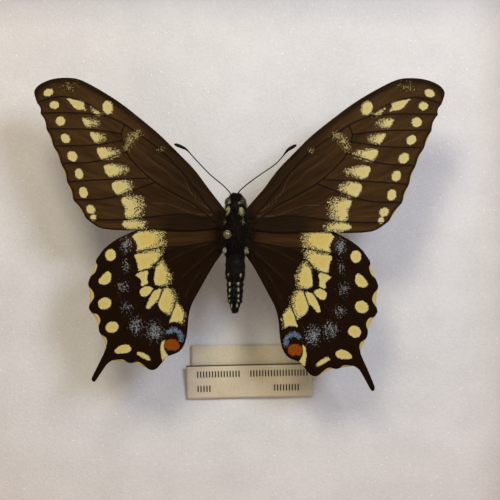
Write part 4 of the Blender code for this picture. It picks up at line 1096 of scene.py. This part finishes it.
# Wing-root hair: long soft hair that grows from the sides of the thorax over the roots of the wings,
# where it hides the joints.
ROOT_HAIR_COUNT = 1500
REAR_TUFT_COUNT = 700
for side in (-1, 1):
    root_y = hair_random.uniform(-3.0, 4.2, ROOT_HAIR_COUNT)
    root_x = side * hair_random.uniform(1.4, 2.4, ROOT_HAIR_COUNT)
    roots = np.column_stack([root_x, root_y, hair_random.uniform(-0.2, 0.55, ROOT_HAIR_COUNT)])
    reach = np.column_stack([np.full(ROOT_HAIR_COUNT, side * 1.0), -0.35 + 0.14 * (root_y - 0.5),
                             np.full(ROOT_HAIR_COUNT, 0.12)])
    reach += hair_random.normal(0, 0.25, reach.shape) * (1, 1, 0.4)
    lengths = 0.3 + 2.4 * hair_random.uniform(0, 1, ROOT_HAIR_COUNT) ** 3
    brown = hair_random.uniform(0, 1, ROOT_HAIR_COUNT) < 0.6
    colours = np.where(brown[:, None], BROWN_HAIR, BLACK_HAIR)
    # A cream and brown tuft at the rear of each side, between the thorax and the hindwing's inner edge
    tuft_roots = np.column_stack([side * hair_random.uniform(1.7, 2.25, REAR_TUFT_COUNT),
                                  hair_random.uniform(-3.3, -2.6, REAR_TUFT_COUNT),
                                  hair_random.uniform(-0.3, 0.5, REAR_TUFT_COUNT)])
    tuft_reach = np.array([side * 0.3, -1.0, 0.1]) + hair_random.normal(0, 0.2, (REAR_TUFT_COUNT, 3))
    cream = hair_random.uniform(0, 1, REAR_TUFT_COUNT) < 0.8
    roots, reach = np.vstack([roots, tuft_roots]), np.vstack([reach, tuft_reach])
    lengths = np.concatenate([lengths, hair_random.uniform(0.4, 0.95, REAR_TUFT_COUNT)])
    colours = np.vstack([colours, np.where(cream[:, None], CREAM_HAIR, BROWN_HAIR)])
    piece = strands("wing_root_hair_" + ("left" if side < 0 else "right"), roots, reach, lengths, 0.024,
                    np.array([0, 0, -0.12]), colours)
    piece.data.materials.append(hair)
    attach(piece, "root")


# Eyes: two dark compound eyes at the sides of the head, glossy domes of fine facets.
EYE_RADII = (0.95, 1.15, 1.1)
EYE_CENTRE = (1.15, 5.8, -0.95)
# The facets' size as a share of the dome's radius: too fine to show one by one, they only dull it
FACET_SHARE = 0.00007
eye_skin = new_material("compound_eye", Roughness=0.28, Specular_IOR_Level=0.5)
eye_place = add_node(eye_skin, "TexCoord").outputs["Object"]
facets = add_node(eye_skin, "TexVoronoi", {"Vector": eye_place, "Scale": 1 / FACET_SHARE,
                                           "Randomness": 0.35}).outputs["Distance"]
eye_colour = add_node(eye_skin, "Mix", {0: facets, 6: linear("#2a2019"), 7: linear("#120d0b")},
                      data_type="RGBA").outputs[2]
finish_material(eye_skin, eye_colour, facets, -0.015 * MM)
eye_profile = [(math.sin(a), math.cos(a)) for a in np.linspace(0, math.pi, 21)]
eye_profile[0], eye_profile[-1] = (0.0, 1.0), (0.0, -1.0)
for side, side_name in ((-1, "left"), (1, "right")):
    eye = turned("eye_" + side_name, eye_profile, 36)
    eye.scale = [radius * MM for radius in EYE_RADII]
    eye.location = SPECIMEN + Vector((side * EYE_CENTRE[0], EYE_CENTRE[1], EYE_CENTRE[2])) * MM
    eye.data.materials.append(eye_skin)
    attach(eye, "root")
    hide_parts("body")


# Feelers, legs and tongue: hollow jointed tubes of dark cuticle, dried stiff. Their routes are points
# in millimetres from the thorax, the third value up from the wings' height.
FEELER_RADIUS = 0.105
ANTENNA_LEFT = [(-0.9, 7.35, -0.5), (-1.33, 8.0, -0.3), (-2.55, 9.2, 0.15), (-4.85, 11.1, 0.7),
                (-7.7, 14.05, 1.4), (-9.1, 15.6, 1.8), (-10.2, 16.2, 2.0), (-11.4, 16.65, 2.2)]
ANTENNA_RIGHT = [(0.4, 7.35, -0.5), (0.78, 8.0, -0.3), (2.4, 9.4, 0.15), (4.8, 11.1, 0.7), (7.45, 12.9, 1.3),
                 (8.9, 14.4, 1.6), (9.9, 15.6, 1.9), (11.4, 16.5, 2.2)]
LEG_RADIUS = 0.17
LEG_ROUTES = {
    "leg_fore": [(0.7, 2.6, -4.0), (2.0, 4.2, -5.2), (1.2, 6.2, -4.9), (0.9, 7.2, -5.2)],
    "leg_mid": [(1.0, 0.6, -4.15), (2.8, 2.0, -5.8), (3.3, -0.7, -6.8), (3.0, -2.8, -7.2)],
    "leg_hind": [(0.9, -1.4, -4.1), (2.1, -2.7, -5.4), (1.3, -6.0, -6.0), (0.9, -9.0, -6.2)],
}
TONGUE_CENTRE = (0.0, 6.4, -3.75)
TONGUE_OUTER, TONGUE_INNER, TONGUE_TURNS, TONGUE_RADIUS = 0.85, 0.35, 1.9, 0.1


def tube(name, path, radii, sides):
    """A round tube along points in millimetres from the thorax, closed to a point at both ends."""
    path = np.array(path, float)
    forward = np.gradient(path, axis=0)
    forward /= np.linalg.norm(forward, axis=1)[:, None]
    across = np.cross(forward[0], (0.2, 0.1, 1.0))
    points, faces = [], []
    for i, (place, ahead, radius) in enumerate(zip(path, forward, radii)):
        across = across - (across @ ahead) * ahead
        across /= np.linalg.norm(across)
        upward = np.cross(ahead, across)
        for k in range(sides):
            angle = 2 * math.pi * k / sides
            points.append(place + (across * math.cos(angle) + upward * math.sin(angle)) * radius)
            if i:
                b, n = (i - 1) * sides, (k + 1) % sides
                faces.append((b + k, b + n, b + sides + n, b + sides + k))
    points += [path[0] - forward[0] * radii[0] * 0.6, path[-1] + forward[-1] * radii[-1] * 0.8]
    start, end, last = len(points) - 2, len(points) - 1, (len(path) - 1) * sides
    for k in range(sides):
        n = (k + 1) % sides
        faces += [(start, n, k), (end, last + k, last + n)]
    return new_piece(name, np.array(points) * MM + np.array(SPECIMEN), faces)


def limb(name, node, path, radii, sides):
    """A tube of cuticle that stands in for one of the frame's nodes, without the body's pale marks."""
    piece = tube(name, path, radii, sides)
    piece.data.materials.append(cuticle)
    put_values(piece.data, pale=np.zeros(len(piece.data.vertices)))
    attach(piece, "root")
    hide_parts(node)


for name, route in (("antenna_left", ANTENNA_LEFT), ("antenna_right", ANTENNA_RIGHT)):
    path = evenly(smooth_through(route, 10), 0.11)
    t = np.linspace(0, 1, len(path))
    joints = 1 + 0.16 * (np.arange(len(path)) % 3 == 0)
    club = 1 + 1.9 * ramp(t, 0.76, 0.93) * (1 - 0.6 * ramp(t, 0.97, 1.0))
    limb(name + "_jointed", name, path, FEELER_RADIUS * joints * club, 10)

for kind, route in LEG_ROUTES.items():
    for side_name, side in (("left", -1), ("right", 1)):
        name = kind + "_" + side_name
        path = evenly(np.array([(side * x, y, z) for x, y, z in smooth_through(route, 6)]), 0.12)
        t = np.linspace(0, 1, len(path))
        thick = np.interp(t, [0, 0.2, 0.36, 0.4, 0.66, 0.7, 1], [1.1, 1.3, 0.75, 0.65, 0.6, 0.4, 0.33])
        foot_joints = 1 + 0.25 * ((np.arange(len(path)) % 5 == 0) & (t > 0.68))
        limb(name + "_jointed", name, path, LEG_RADIUS * thick * foot_joints, 10)

coil = []
for t in np.linspace(0, 1, 90):
    radius = TONGUE_OUTER + (TONGUE_INNER - TONGUE_OUTER) * t
    angle = math.pi / 2 - t * TONGUE_TURNS * 2 * math.pi
    coil.append((TONGUE_CENTRE[0] + 0.12 * t, TONGUE_CENTRE[1] + radius * math.cos(angle),
                 TONGUE_CENTRE[2] + radius * math.sin(angle)))
limb("proboscis_coiled", "proboscis", coil, TONGUE_RADIUS * (1 + 0.1 * (np.arange(90) % 2)), 8)
